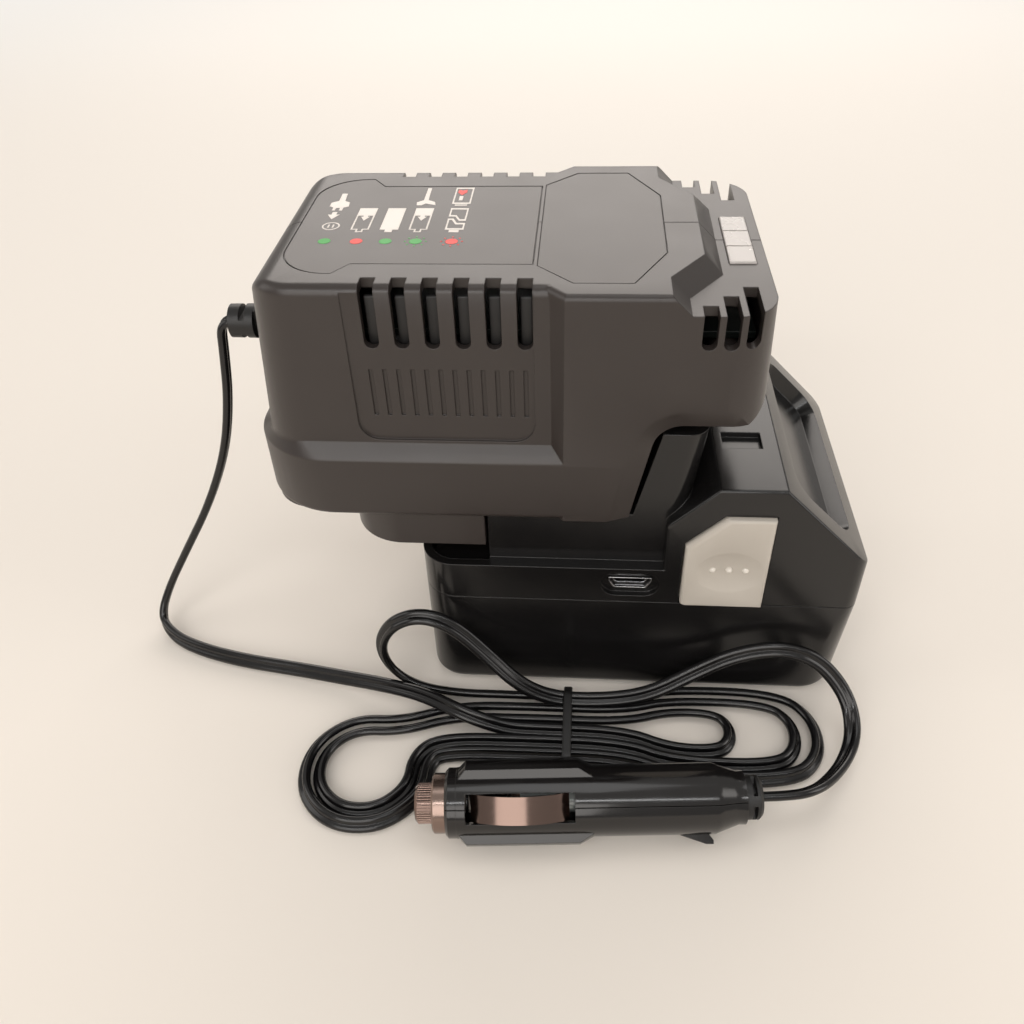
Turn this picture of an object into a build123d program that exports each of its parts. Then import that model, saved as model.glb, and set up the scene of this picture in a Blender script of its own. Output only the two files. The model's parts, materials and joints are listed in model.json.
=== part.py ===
from build123d import *
import math
import os

# A vehicle battery charger docked on the battery pack that it charges, with its tied cord and lighter plug.
# Millimetres, +Z up. The origin is the middle of the pack's base. +X points to the charger's light window,
# and the cord leaves the charger at its -X end. The near side is -Y.

# Pack: sizes
pack_length = 116.0
pack_width = 76.0
pack_back_radius = 9.0
pack_front_radius = 4.0
pack_foot_radius = 11.0
pack_base_radius = 3.0
pack_wall = 2.4
pack_seam_height = 34.5
rim_room = 6.9
back_pocket_depth = 3.0
shoulder_height = 73.2
shoulder_start = 6.0
shoulder_cheek_drop = 11.8
shoulder_flat_end = 34.0
shoulder_edge_radius = 1.0
shoulder_corner_radius = 3.0
shoulder_side_radius = 0.8
trough_length = 23.0
trough_width = 62.0
trough_depth = 4.0
trough_radius = 6.0
trough_slope = 18.0
hook_slot_length = 10.0
hook_slot_width = 7.0
hook_slot_depth = 1.6
hook_slot_x = 25.0
hook_slot_y = 17.0

# Pack: riser, tower and post that carry the charger
riser_back = -39.5
riser_width = 69.0
tower_rise = 13.8
tower_back_low = -2.5
tower_back_high = 3.3
tower_front_low = 11.5
tower_front_high = 14.5
tower_corner_radius = 5.0
post_x = -25.5
post_length = 24.0
post_width = 28.0
post_top_gap = 1.1
post_edge_radius = 1.0
post_radius = 3.0
terminal_width = 6.0
terminal_height = 22.0
terminal_thickness = 0.8
terminal_spacing = 12.0
terminal_drop = 3.0

# Pack: cells, board, socket and screws
cell_radius = 9.0
cell_length = 65.0
cell_pitch = 18.5
cell_columns = 5
cell_edge = 0.5
holder_thickness = 3.0
holder_margin = 0.6
holder_inset = 3.0
strap_thickness = 0.2
strap_width = 7.0
strap_overlap = 4.0
pack_board_thickness = 1.6
pack_board_length = 38.0
pack_board_margin = 6.0
usb_x = -2.3
usb_lift = 2.2
usb_shell_width = 9.0
usb_shell_height = 3.2
usb_shell_wall = 0.35
usb_tongue_width = 6.4
usb_tongue_thickness = 0.7
usb_mouth_width = 15.5
usb_mouth_height = 8.2
usb_mouth_drop = 0.8
usb_mouth_depth = 1.6
case_screw_x = 51.4
case_screw_y = 31.2
case_screw_grip = 6.0
screw_radius = 1.5
screw_head_radius = 2.8
screw_head_height = 2.2
screw_boss_radius = 3.5

# Pack: latches
latch_back = 11.0
latch_front = 32.4
latch_lift = 0.5
latch_height = 30.0
latch_corner = 9.5
latch_proud = 1.6
latch_thickness = 5.2
latch_flange = 1.6
latch_flange_height = 13.0
latch_flange_thickness = 2.0
latch_edge_radius = 0.8
latch_back_radius = 1.5
latch_travel = 2.5
latch_dish_depth = 1.4
latch_dish_length = 17.5
latch_dish_height = 14.5
latch_dish_shift = 1.0
latch_dish_rise = 12.5
latch_dot_pitch = 4.2
latch_dot_radius = 0.9
latch_spring_radius = 3.0
latch_spring_wire = 0.8
latch_spring_turns = 4
latch_spring_rise = 22.0
latch_rib_y = 26.0
latch_rib_thickness = 2.0
latch_rib_inset = 3.0
latch_rib_lift = 6.0

# Charger: housing sizes
charger_top = 124.0
charger_bottom = 62.5
charger_wall = 2.4
core_back_low = -95.5
core_back_high = -91.0
core_half_low = 34.9
core_half_high = 34.2
core_back_radius = 11.0
core_back_top_radius = 7.0
core_back_crease = 12.0
core_top_radius = 2.5
core_overlap = 20.0
skirt_back = -98.0
skirt_half = 38.0
skirt_back_radius = 20.0
skirt_bottom_radius = 2.0
skirt_height = 17.5
ledge_rise = 3.6
ledge_tuck = 0.2
ledge_radius = 1.2
front_end_low = 27.5
front_end_high = 25.5
front_back = -24.4
front_tuck = 1.0
front_bevel = 4.4
front_half_high = 37.7
front_corner_radius = 10.0
front_top_radius = 1.5
nose_radius = 8.0
nose_crease = 0.1
step_low_x = -3.7
step_high_x = 2.0
tower_gap = 3.5
step_corner_radius = 7.0
step_lip_width = 5.6
step_lip_depth = 2.2
plateau_drop = 4.4
plateau_front_x = 14.9
plateau_side_x = 6.8
plateau_corner_y = 18.5
plateau_diagonal = 54.5
shoe_back = -76.0
shoe_half = 36.0
shoe_depth = 10.5
shoe_radius = 14.0

# Charger: panel, slots, grooves and vents
panel_back = -69.0
panel_front = -26.8
panel_lift = 0.6
panel_depth = 0.95
panel_radius = 5.0
slot_count = 6
slot_first_x = -63.2
slot_pitch = 6.9
slot_width = 3.4
slot_inner_y = 29.4
slot_height = 15.0
groove_count = 12
groove_first_x = -64.4
groove_pitch = 3.24
groove_width = 1.0
groove_depth = 0.5
groove_lift = 6.8
groove_length = 12.5
vent_count = 3
vent_first_x = 10.9
vent_pitch = 4.7
vent_width = 3.3
vent_first_y = 33.0
vent_step_y = 4.4
vent_height = 12.5

# Charger: labels and light window
label_thickness = 0.35
label_recess = 0.4
label_gap = 0.25
status_label_back = -85.0
status_label_front = -27.6
status_label_half = 22.5
status_label_flare_x = -68.5
status_label_flare = 4.9
status_label_radius = 12.0
rating_label_back = -26.4
rating_label_front = 2.2
rating_label_half = 31.4
rating_label_back_half = 23.2
rating_label_front_half = 16.4
rating_label_corner_back = -18.3
rating_label_corner_front = -5.4
window_x = 20.0
window_length = 6.2
window_width = 25.6
window_proud = 0.5
window_flange = 1.2
window_flange_height = 1.8
window_depth = 6.4
window_edge_radius = 0.4

# Charger: inside
board_drop = 15.4
board_thickness = 1.6
board_back = -80.0
board_front = 22.4
board_width = 54.0
well_wall = 2.4
well_top = 3.5
blade_thickness = 0.9
blade_drop = 4.0
blade_margin = 0.5
transformer_x = -66.0
transformer_length = 24.0
transformer_width = 26.0
transformer_height = 22.0
transformer_leg = 4.0
winding_width = 19.0
winding_overhang = 1.5
winding_radius = 3.0
capacitor_radius = 5.0
capacitor_height = 18.0
capacitor_x = -46.4
capacitor_pitch = 11.0
capacitor_count = 3
capacitor_edge = 0.8
choke_radius = 7.5
choke_bore = 3.6
choke_height = 8.0
choke_edge = 1.2
choke_x = -60.0
choke_y = -21.0
sink_length = 22.0
sink_height = 24.0
sink_y = 22.5
sink_fin_count = 5
sink_fin_thickness = 1.2
sink_fin_depth = 5.0
sink_plate = 1.5
light_radius = 1.5
light_height = 2.4
light_count = 3
light_pitch = 8.0
light_edge = 0.8
housing_screw_seat = 25.0
housing_screw_length = 31.0
boss_back_x = -83.0
boss_back_rise = 11.5
boss_high_x = -84.5
boss_high_drop = 16.0
boss_front_x = 16.0
boss_front_drop = 19.2
boss_middle_x = -45.5
boss_middle_rise = 7.5

# Cord gland
gland_drop = 27.0
gland_length = 15.0
gland_root_radius = 4.6
gland_end_radius = 4.4
gland_neck_radius = 3.0
gland_flange = 2.0
gland_slot_count = 3
gland_slot_width = 1.5
gland_sleeve = 0.6

# Cord
cord_diameter = 3.0
hank_pitch = 4.0
hank_layer = 3.5
hank_waist_x = -18.0
hank_waist_y = -55.5
hank_waist_run = 20.0
right_lead = 24.0
right_turn_radius = 6.5
right_turn_places = (20.0, 33.5, 35.5)
left_turn_x = -73.0
left_turn_radius = 12.5
left_shift = 6.0
left_lead = 30.0
tie_thickness = 1.0
tie_width = 2.4
tie_gap = 0.3

# Plug, along its own axis from the tip
plug_tip_x = -54.9
plug_tip_y = -86.6
plug_turn = 4.3
plug_roll = 45.0
tip_length = 4.3
tip_radius = 4.9
tip_flutes = 48
tip_stem_radius = 2.5
tip_flange_radius = 5.7
tip_flange_thickness = 1.0
tip_edge = 0.7
flute_radius = 0.26
flute_lift = 0.1
ring_length = 3.3
ring_radius = 7.3
collar_end = 10.4
collar_radius = 8.5
rib_start = 10.9
rib_end = 44.0
rib_radius = 10.4
rib_half = 5.4
rib_rise = 1.8
rib_front_slope = 1.8
rib_back_slope = 3.5
body_end = 73.7
body_radius = 8.6
taper_end = 79.6
neck_end = 81.3
neck_radius = 6.5
grommet_length = 4.2
grommet_radius = 5.4
grommet_edge = 0.8
grommet_slot = 1.0
grommet_bridge = 2.6
pull_start = 62.5
pull_end = 73.4
pull_reach = 10.8
pull_half = 1.6
pull_tip_radius = 0.9
plug_bore_radius = 6.1
plug_bore_end = 46.0
contact_start = 14.0
contact_end = 38.0
contact_width = 6.6
contact_thickness = 0.6
contact_reach = 10.7
contact_travel = 1.4
fuse_radius = 3.1
fuse_length = 20.0
fuse_cap = 5.0
fuse_cap_wall = 0.3
fuse_sleeve = 3.0
plug_screw_radius = 1.0
plug_screw_head_radius = 1.9
plug_screw_head_height = 1.4
plug_screw_length = 6.8
plug_screw_seat = 3.4
plug_screw_margin = 2.0
tip_spring_wire = 0.7
tip_spring_turns = 5

# Clearances
seam_gap = 0.2
sliding_clearance = 0.3
seat_clearance = 0.3
post_clearance = 0.6
hole_clearance = 0.1
gland_gap = 0.25
beyond = 300.0

pack_half_length = pack_length / 2
pack_half_width = pack_width / 2
riser_half = riser_width / 2
riser_height = charger_bottom - seat_clearance
cell_top = pack_wall + 2 * seat_clearance + 2 * cell_radius + cell_pitch
pack_rim_height = cell_top + rim_room
usb_height = cell_top + usb_lift
latch_bottom = pack_seam_height + latch_lift
latch_top = latch_bottom + latch_height
shoe_bottom = charger_bottom - shoe_depth
shoulder_cheek_height = shoulder_height - shoulder_cheek_drop
tower_height = shoulder_height + tower_rise
front_bottom = tower_height + tower_gap
ledge_low = charger_bottom + skirt_height
ledge_high = ledge_low + ledge_rise
panel_bottom = ledge_high + panel_lift
groove_bottom = panel_bottom + groove_lift
groove_top = groove_bottom + groove_length
plateau_height = charger_top - plateau_drop
slot_bottom = charger_top - slot_height
vent_bottom = charger_top - vent_height
board_height = charger_top - board_drop
post_height = board_height - well_top - post_top_gap
gland_height = charger_top - gland_drop
core_lean = (core_back_high - core_back_low) / (charger_top - charger_bottom)
housing_bosses = (
    (boss_back_x, charger_bottom + boss_back_rise),
    (boss_high_x, charger_top - boss_high_drop),
    (boss_front_x, charger_top - boss_front_drop),
    (boss_middle_x, charger_bottom + boss_middle_rise),
)


def block(x0, x1, y0, y1, z0, z1):
    """Box between two corners."""
    return Pos((x0 + x1) / 2, (y0 + y1) / 2, (z0 + z1) / 2) * Box(x1 - x0, y1 - y0, z1 - z0)


def outline(points):
    """Flat face inside a closed run of straight edges."""
    return make_face(Polyline(*points, close=True))


def side_prism(points, half):
    """Solid from an outline in X and Z, running from -half to half in Y."""
    return extrude(Plane.XZ * outline(points), amount=half, both=True)


def plan(back, front, half, back_radius, front_radius, z):
    """Face in plan with rounded corners, at height z."""
    face = outline(((back, -half), (front, -half), (front, half), (back, half)))
    corners = face.vertices().sort_by(Axis.X)
    face = fillet(corners[:2], back_radius)
    if front_radius > 0:
        face = fillet([v for v in face.vertices() if v.X > front - 0.01], front_radius)
    return Pos(0, 0, z) * face


def rod_y(x, z, radius, y0, y1):
    """Cylinder along Y."""
    return Pos(x, (y0 + y1) / 2, z) * Rot(90, 0, 0) * Cylinder(radius, abs(y1 - y0))


def both_sides(shape):
    """A shape on the near side and its twin on the far side."""
    return [shape, mirror(shape, about=Plane.XZ)]


def coil_spring(radius, wire, turns, length):
    """Coil spring from the origin along +Z, with its wire inside that length."""
    rise = length - wire
    path = Pos(0, 0, wire / 2) * Helix(pitch=rise / turns, height=rise, radius=radius - wire / 2)
    section = Plane(origin=path @ 0, z_dir=path % 0) * Circle(wire / 2)
    return sweep(section, path=path, is_frenet=True)


def screw(head_radius, head_height, radius, length):
    """Screw with its head's seat at the origin and its shank along -Z."""
    head = Pos(0, 0, head_height / 2) * Cylinder(head_radius, head_height)
    arm = (0.2 * head_radius, 1.2 * head_radius, 0.7 * head_height)
    slot = Pos(0, 0, head_height) * (Box(*arm) + Rot(0, 0, 90) * Box(*arm))
    shank = Pos(0, 0, -length / 2) * Cylinder(radius, length)
    return head + shank - slot


# Pack: cases


def case_form(inset, bottom, top):
    """Tub form of the pack's lower case, whose front corners grow rounder towards the base."""
    ends = (-pack_half_length + inset, pack_half_length - inset)
    half = pack_half_width - inset
    foot = plan(*ends, half, pack_back_radius - inset, pack_foot_radius - inset, bottom)
    rim = plan(*ends, half, pack_back_radius - inset, max(pack_front_radius - inset, 1.0), top)
    return loft([foot, rim], ruled=True)


def case_screw_places():
    """Places of the four screws in the pack's base."""
    return [(sx * case_screw_x, sy * case_screw_y) for sx in (-1, 1) for sy in (-1, 1)]


def make_lower_case():
    """Lower tub of the pack, with its screw bosses."""
    form = case_form(0, 0, pack_seam_height)
    form = fillet(form.faces().sort_by(Axis.Z)[0].edges(), pack_base_radius)
    tub = form - case_form(pack_wall, pack_wall, pack_seam_height)
    rim = pack_seam_height - seat_clearance
    for x, y in case_screw_places():
        tub += form & Pos(x, y, rim / 2) * Cylinder(screw_boss_radius, rim)
    for x, y in case_screw_places():
        tub -= Pos(x, y, pack_seam_height / 2) * Cylinder(screw_radius + hole_clearance, pack_seam_height + 1)
        well = screw_head_height + seat_clearance
        tub -= Pos(x, y, well / 2) * Cylinder(screw_head_radius + hole_clearance, well)
    return tub


def make_case_screws():
    """Four screws that hold the pack's two cases together from below."""
    z = screw_head_height + seat_clearance
    length = pack_seam_height - z + case_screw_grip
    one = Rot(180, 0, 0) * screw(screw_head_radius, screw_head_height, screw_radius, length)
    return [Pos(x, y, z) * one for x, y in case_screw_places()]


def shoulder_points(inset, floor):
    """Side outline of the shoulder that holds the latches, down to a floor."""
    slope_inset = inset * math.sqrt(2) * (1 + trough_depth / pack_wall)
    rise = shoulder_height - shoulder_cheek_height
    drop = pack_half_length - shoulder_flat_end
    top = shoulder_height - inset
    cheek = inset * math.tan(math.radians(22.5))
    front = pack_half_length - inset
    return (
        (shoulder_start + inset, floor),
        (shoulder_start + inset, shoulder_cheek_height - cheek),
        (shoulder_start + rise + cheek, top),
        (shoulder_flat_end + inset - slope_inset, top),
        (front, shoulder_height - drop + inset - slope_inset),
        (front, floor),
    )


def riser_points(inset, floor):
    """Side outline of the riser and the leaning tower in front of it."""
    return (
        (riser_back + inset, floor),
        (riser_back + inset, riser_height - inset),
        (tower_back_low + inset, riser_height - inset),
        (tower_back_high + inset, tower_height - inset),
        (tower_front_high - inset, tower_height - inset),
        (tower_front_low - inset, riser_height - inset),
        (tower_front_low - inset, floor),
    )


def latch_points(grow):
    """Outline of a latch button in X and Z, with its cut upper corner."""
    back = latch_back - grow
    front = latch_front + grow
    bottom = latch_bottom - grow
    top = latch_top + grow
    corner = latch_corner + grow * (math.sqrt(2) - 2)
    return ((back, bottom), (front, bottom), (front, top), (back + corner, top), (back, top - corner))


def usb_mouth(width, height, drop, y0, y1):
    """Oval opening through the near wall, its middle a drop below the socket's."""
    face = Plane.XZ * Pos(usb_x, usb_height - drop) * SlotOverall(width, height)
    return Pos(0, y1, 0) * extrude(face, amount=y1 - y0)


def make_upper_cover():
    """Upper cover of the pack: rim, shoulder, riser, tower and post in one moulding."""
    base = pack_seam_height + seam_gap
    walls = (-pack_half_length, pack_half_length, pack_half_width, pack_back_radius, pack_front_radius, base)
    column = extrude(plan(*walls), amount=tower_height)
    rim = block(-pack_half_length, pack_half_length, -pack_half_width, pack_half_width, base, pack_rim_height)
    shoulder = side_prism(shoulder_points(0, base), pack_half_width)
    top_edges = shoulder.edges().filter_by(Axis.Y).group_by(Axis.Z)[-1]
    shoulder = fillet(top_edges, shoulder_edge_radius)
    across = shoulder.edges().filter_by(Axis.Y)
    cheek = [e for e in across if abs(e.center().Z - shoulder_cheek_height) < 0.01]
    shoulder = fillet(cheek, shoulder_corner_radius)
    cover = (rim + shoulder) & column
    sides = [e for e in cover.edges() if abs(abs(e.center().Y) - pack_half_width) < 0.01]
    cover = fillet([e for e in sides if e.center().Z > shoulder_cheek_height + 0.1], shoulder_side_radius)
    riser = side_prism(riser_points(0, base), riser_half)
    front_edges = [e for e in riser.edges() if e.center().X > tower_front_low - 0.1]
    riser = fillet([e for e in front_edges if abs(e.center().Y) > riser_half - 0.1], tower_corner_radius)
    cover += riser
    post_foot = riser_height - 1
    post = Pos(post_x, 0, post_foot) * extrude(
        RectangleRounded(post_length, post_width, post_radius), amount=post_height - post_foot
    )
    post = fillet(post.faces().sort_by(Axis.Z)[-1].edges(), post_edge_radius)
    cover += post
    return cut_upper_cover(cover, base)


def cut_upper_cover(cover, base):
    """Hollows, pockets and openings of the upper cover."""
    whole = cover
    inner_back = -pack_half_length + pack_wall
    inner_half = pack_half_width - pack_wall
    pocket_floor = pack_rim_height - back_pocket_depth
    roof_back = pocket_floor - pack_wall
    roof = pack_rim_height - pack_wall
    low = base - 1
    inner_front = pack_half_length - pack_wall
    inner_radii = (pack_back_radius - pack_wall, pack_front_radius - pack_wall)
    cover -= extrude(plan(inner_back, inner_front, inner_half, *inner_radii, low), amount=roof_back - low)
    cover -= block(riser_back + pack_wall, inner_front, -inner_half, inner_half, low, roof)
    cover -= side_prism(riser_points(pack_wall, low), riser_half - pack_wall)
    cover -= side_prism(shoulder_points(pack_wall, low), inner_half)
    post_inner = RectangleRounded(post_length - 2 * pack_wall, post_width - 2 * pack_wall, 1.0)
    cover -= Pos(post_x, 0, low) * extrude(post_inner, amount=post_height - pack_wall - low)
    rib = block(
        latch_back + latch_rib_inset,
        latch_front - latch_rib_inset,
        -latch_rib_y,
        -latch_rib_y + latch_rib_thickness,
        latch_bottom + latch_rib_lift,
        shoulder_height - pack_wall / 2,
    )
    cover += [whole & side for side in both_sides(rib)]
    for x, y in case_screw_places():
        reach = roof_back + 1 if x < 0 else shoulder_cheek_height
        cover += whole & Pos(x, y, (base + reach) / 2) * Cylinder(screw_boss_radius, reach - base)
        hole = pack_seam_height + case_screw_grip + 1
        cover -= Pos(x, y, hole / 2) * Cylinder(screw_radius + hole_clearance, hole)
    return open_upper_cover(cover, inner_back, inner_half, pocket_floor)


def open_upper_cover(cover, inner_back, inner_half, pocket_floor):
    """Pockets and openings in the outside of the upper cover."""
    pocket_radius = pack_back_radius - pack_wall
    pocket = plan(inner_back, riser_back, inner_half, pocket_radius, 0, pocket_floor)
    cover -= extrude(pocket, amount=back_pocket_depth + 1)
    slope_middle = (shoulder_flat_end + pack_half_length) / 2
    slope_height = shoulder_height - (pack_half_length - shoulder_flat_end) / 2
    slope = Plane(origin=(slope_middle, 0, slope_height), x_dir=(0, 1, 0), z_dir=(1, 0, 1))
    mouth = slope * RectangleRounded(trough_width, trough_length, trough_radius)
    cover -= extrude(mouth, amount=-trough_depth, taper=trough_slope)
    hook_slot = block(
        hook_slot_x - hook_slot_length / 2,
        hook_slot_x + hook_slot_length / 2,
        -hook_slot_width / 2,
        hook_slot_width / 2,
        shoulder_height - hook_slot_depth,
        shoulder_height + 1,
    )
    for sign in (-1, 1):
        cover -= Pos(0, sign * hook_slot_y, 0) * hook_slot
    window = side_prism(latch_points(sliding_clearance), pack_half_width + 1)
    cover -= window - block(-beyond, beyond, -inner_half + 1, inner_half - 1, 0, beyond)
    mouth = (usb_mouth_width, usb_mouth_height, usb_mouth_drop)
    cover -= usb_mouth(*mouth, -pack_half_width - 1, -pack_half_width + usb_mouth_depth)
    shell = (usb_shell_width + 2 * hole_clearance, usb_shell_height + 2 * hole_clearance, 0)
    cover -= usb_mouth(*shell, -pack_half_width - 1, -inner_half + 1)
    for terminal in terminal_blanks(0):
        cover -= terminal
    return cover


def terminal_blanks(gap):
    """Plates let into the sides of the post, shrunk by a gap."""
    top = post_height - terminal_drop
    plates = []
    for side in (-1, 1):
        for step in (-1, 1):
            x = post_x + step * terminal_spacing / 2
            half = terminal_width / 2 - gap
            outer = side * post_width / 2
            inner = outer - side * (terminal_thickness - gap)
            low = top - terminal_height + gap
            plates.append(block(x - half, x + half, min(outer, inner), max(outer, inner), low, top - gap))
    return plates


# Pack: inside


def cell_places():
    """Middles of the cells in X and Z, in two rows."""
    first = -(cell_columns - 1) / 2 * cell_pitch
    low = pack_wall + 2 * seat_clearance + cell_radius
    rows = (low, low + cell_pitch)
    return [(first + i * cell_pitch, z) for z in rows for i in range(cell_columns)]


def make_cells():
    """Ten round cells lying across the pack."""
    cells = []
    for x, z in cell_places():
        can = rod_y(x, z, cell_radius, -cell_length / 2, cell_length / 2)
        cells.append(chamfer(can.edges().filter_by(GeomType.CIRCLE), cell_edge))
    return cells


def make_cell_holders():
    """Two plates with a hole for each cell."""
    low = pack_wall + seat_clearance
    high = cell_top + seat_clearance
    half = (cell_columns / 2) * cell_pitch + holder_margin
    outer = cell_length / 2 - holder_inset
    plate = block(-half, half, -outer, -outer + holder_thickness, low, high)
    for x, z in cell_places():
        plate -= rod_y(x, z, cell_radius + hole_clearance, -cell_length, cell_length)
    return both_sides(plate)


def make_cell_straps():
    """Thin strips welded across the ends of the cells, one column at a time."""
    low = cell_places()[0][1] - strap_overlap
    high = cell_places()[-1][1] + strap_overlap
    end = cell_length / 2
    half = strap_width / 2
    strips = []
    for x, _ in cell_places()[:cell_columns]:
        strips += both_sides(block(x - half, x + half, -end - strap_thickness, -end, low, high))
    return strips


def board_floor():
    """Underside of the pack's board, on top of the cell holders."""
    return cell_top + 2 * seat_clearance


def make_pack_board():
    """Balancing board above the cells."""
    floor = board_floor()
    back = riser_back + pack_wall + seat_clearance
    half = riser_half - pack_wall - pack_board_margin
    return block(back, back + pack_board_length, -half, half, floor, floor + pack_board_thickness)


def make_usb_socket():
    """Socket shell behind the oval mouth in the near wall."""
    board_edge = riser_half - pack_wall - pack_board_margin
    y1 = -board_edge - seat_clearance
    y0 = -pack_half_width + usb_mouth_depth + hole_clearance
    wall = 2 * usb_shell_wall
    shell = usb_mouth(usb_shell_width, usb_shell_height, 0, y0, y1)
    hollow = usb_mouth(usb_shell_width - wall, usb_shell_height - wall, 0, y0 - 1, y1 - 2)
    half = usb_tongue_width / 2
    thick = usb_tongue_thickness / 2
    tongue = block(usb_x - half, usb_x + half, y0 + 1, y1 - 1, usb_height - thick, usb_height + thick)
    return shell - hollow + tongue


def make_post_terminals():
    """Metal plates in the sides of the post."""
    return terminal_blanks(hole_clearance)


# Pack: latches


def make_latch():
    """Near latch: button, finger dish with three dots, and the flange that keeps it in the cover."""
    outer = pack_half_width + latch_proud
    button = Pos(0, -outer, 0) * extrude(Plane.XZ * outline(latch_points(0)), amount=-latch_thickness)
    rim = [e for e in button.edges() if abs(e.center().Y + outer) < 0.01]
    back_rim = [e for e in rim if e.center().X < latch_back + latch_corner - 0.1]
    button = fillet([e for e in back_rim if e.center().Z > latch_bottom + 0.1], latch_back_radius)
    rim = [e for e in button.edges() if abs(e.center().Y + outer) < 0.01]
    ends = [e for e in rim if not latch_bottom + 0.1 < e.center().Z < latch_top - 0.1]
    ends += [e for e in rim if e.center().X > latch_front - 0.1]
    button = fillet(ends, latch_edge_radius)
    middle_x = (latch_back + latch_front) / 2 + latch_dish_shift
    middle_z = latch_bottom + latch_dish_rise
    reach = (latch_dish_length / 2) ** 2
    ball = (reach + latch_dish_depth**2) / (2 * latch_dish_depth)
    dish = Pos(middle_x, 0, middle_z) * scale(Sphere(ball), by=(1, 1, latch_dish_height / latch_dish_length))
    button -= Pos(0, -outer - ball + latch_dish_depth, 0) * dish
    for step in (-1, 0, 1):
        dot_x = middle_x + step * latch_dot_pitch
        button += Pos(dot_x, -outer + latch_dish_depth, middle_z) * Sphere(latch_dot_radius)
    inner = pack_half_width - pack_wall - sliding_clearance
    clear_z = cell_top + 2 * seat_clearance
    flange = block(
        latch_back - latch_flange,
        latch_front + latch_flange,
        -inner,
        -inner + latch_flange_thickness,
        clear_z,
        clear_z + latch_flange_height,
    )
    clear_y = cell_length / 2 + strap_thickness + seat_clearance + latch_travel
    button -= block(latch_back - 1, latch_front + 1, -clear_y, 0, latch_bottom - 1, clear_z)
    return button + flange


def make_latch_spring():
    """Spring between the near latch and the rib behind it."""
    back = -pack_half_width - latch_proud + latch_thickness
    length = -latch_rib_y - back - 0.2
    place = Pos((latch_back + latch_front) / 2, back + 0.1, latch_bottom + latch_spring_rise) * Rot(-90, 0, 0)
    return place * coil_spring(latch_spring_radius, latch_spring_wire, latch_spring_turns, length)


# Charger: housing


def plateau_cut(inset):
    """Space above the lowered front of the housing, with a sloped edge of 45 degrees around it."""
    angle = math.radians(plateau_diagonal)
    nx = math.sin(angle)
    ny = math.cos(angle)
    reach = plateau_front_x * nx + plateau_corner_y * ny

    def edge(offset, z):
        front = plateau_front_x - offset
        side = plateau_side_x - offset
        front_y = (reach - offset - front * nx) / ny
        side_y = (reach - offset - side * nx) / ny
        far = beyond
        half = [(front, front_y), (side, side_y), (side, far)]
        points = [(x, -y) for x, y in half] + [(far, -far), (far, far)] + half[::-1]
        return Pos(0, 0, z) * outline(points)

    height = 2 * plateau_drop
    lift = inset * math.tan(math.radians(22.5))
    floor = plateau_height - inset
    return loft([edge(lift, floor), edge(height + lift, floor + height)], ruled=True)


def nose_cut(inset):
    """Space outside the rounded lower front edge of the housing."""
    height = front_bottom + nose_radius
    lean = (front_end_low - front_end_high) / (charger_top - charger_bottom)
    middle = front_end_low - lean * (height - charger_bottom) + nose_crease - nose_radius
    corner = block(middle, beyond, -beyond, beyond, front_bottom - charger_wall, height)
    return corner - Pos(middle, 0, height) * Rot(90, 0, 0) * Cylinder(nose_radius - inset, 2 * beyond)


def step_cut(inset):
    """Space below the front of the housing, where the pack's tower stands, with a bevelled lip outside."""
    rise = (step_high_x - step_low_x) / (front_bottom - charger_bottom)
    shift = inset * math.sqrt(1 + rise**2)
    roof = front_bottom + inset
    low = shoe_bottom - charger_wall
    points = (
        (step_low_x - shift - rise * (charger_bottom - low), low),
        (step_high_x - shift + rise * inset, roof),
        (beyond, roof),
        (beyond, low),
    )
    face = outline(points)
    corner = face.vertices().group_by(Axis.Y)[-1].sort_by(Axis.X)[0]
    face = Plane.XZ * fillet(corner, step_corner_radius + inset)
    cut = extrude(face, amount=beyond, both=True) + nose_cut(inset)
    if inset > 0:
        return cut
    slope = math.degrees(math.atan2(step_lip_width, step_lip_depth))
    lip = Pos(0, -skirt_half + step_lip_depth, 0) * extrude(face, amount=step_lip_depth + 1, taper=-slope)
    return cut + both_sides(lip)


def front_form(inset):
    """Wide front block of the housing, with a bevel where it meets the narrower back."""
    def layer(front, half, z):
        half = half - inset
        face = outline(
            (
                (front_back + inset, -core_half_high + front_tuck + inset),
                (front_back + front_bevel + inset / 2, -half),
                (front - inset, -half),
                (front - inset, half),
                (front_back + front_bevel + inset / 2, half),
                (front_back + inset, core_half_high - front_tuck - inset),
            )
        )
        corners = [v for v in face.vertices() if v.X > front - inset - 0.01]
        return Pos(0, 0, z) * fillet(corners, front_corner_radius - inset)

    low = layer(front_end_low, skirt_half, charger_bottom + inset)
    high = layer(front_end_high, front_half_high, charger_top - inset)
    form = loft([low, high], ruled=True)
    if inset == 0:
        form = fillet(form.faces().sort_by(Axis.Z)[-1].edges(), front_top_radius)
    return form


def core_back_at(z):
    """Back wall of the leaning upper body at a height."""
    return core_back_low + core_lean * (z - charger_bottom)


def core_side(front, low_z, high_z, inset):
    """Side view of the upper body, whose back wall turns into the top in an arc with a faint crease."""
    radius = core_back_top_radius - inset
    centre_z = high_z - radius
    start_z = centre_z + radius * math.sin(math.radians(core_back_crease))
    start_x = core_back_low + inset + (core_back_high - core_back_low) * (start_z - low_z) / (high_z - low_z)
    centre_x = start_x + radius * math.cos(math.radians(core_back_crease))
    middle = math.radians((core_back_crease + 90) / 2)
    bow = (centre_x - radius * math.cos(middle), centre_z + radius * math.sin(middle))
    arc = ThreePointArc((start_x, start_z), bow, (centre_x, high_z))
    rest = Polyline(arc @ 1, (front, high_z), (front, low_z), (core_back_low + inset, low_z), arc @ 0)
    return make_face([arc, rest])


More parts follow.
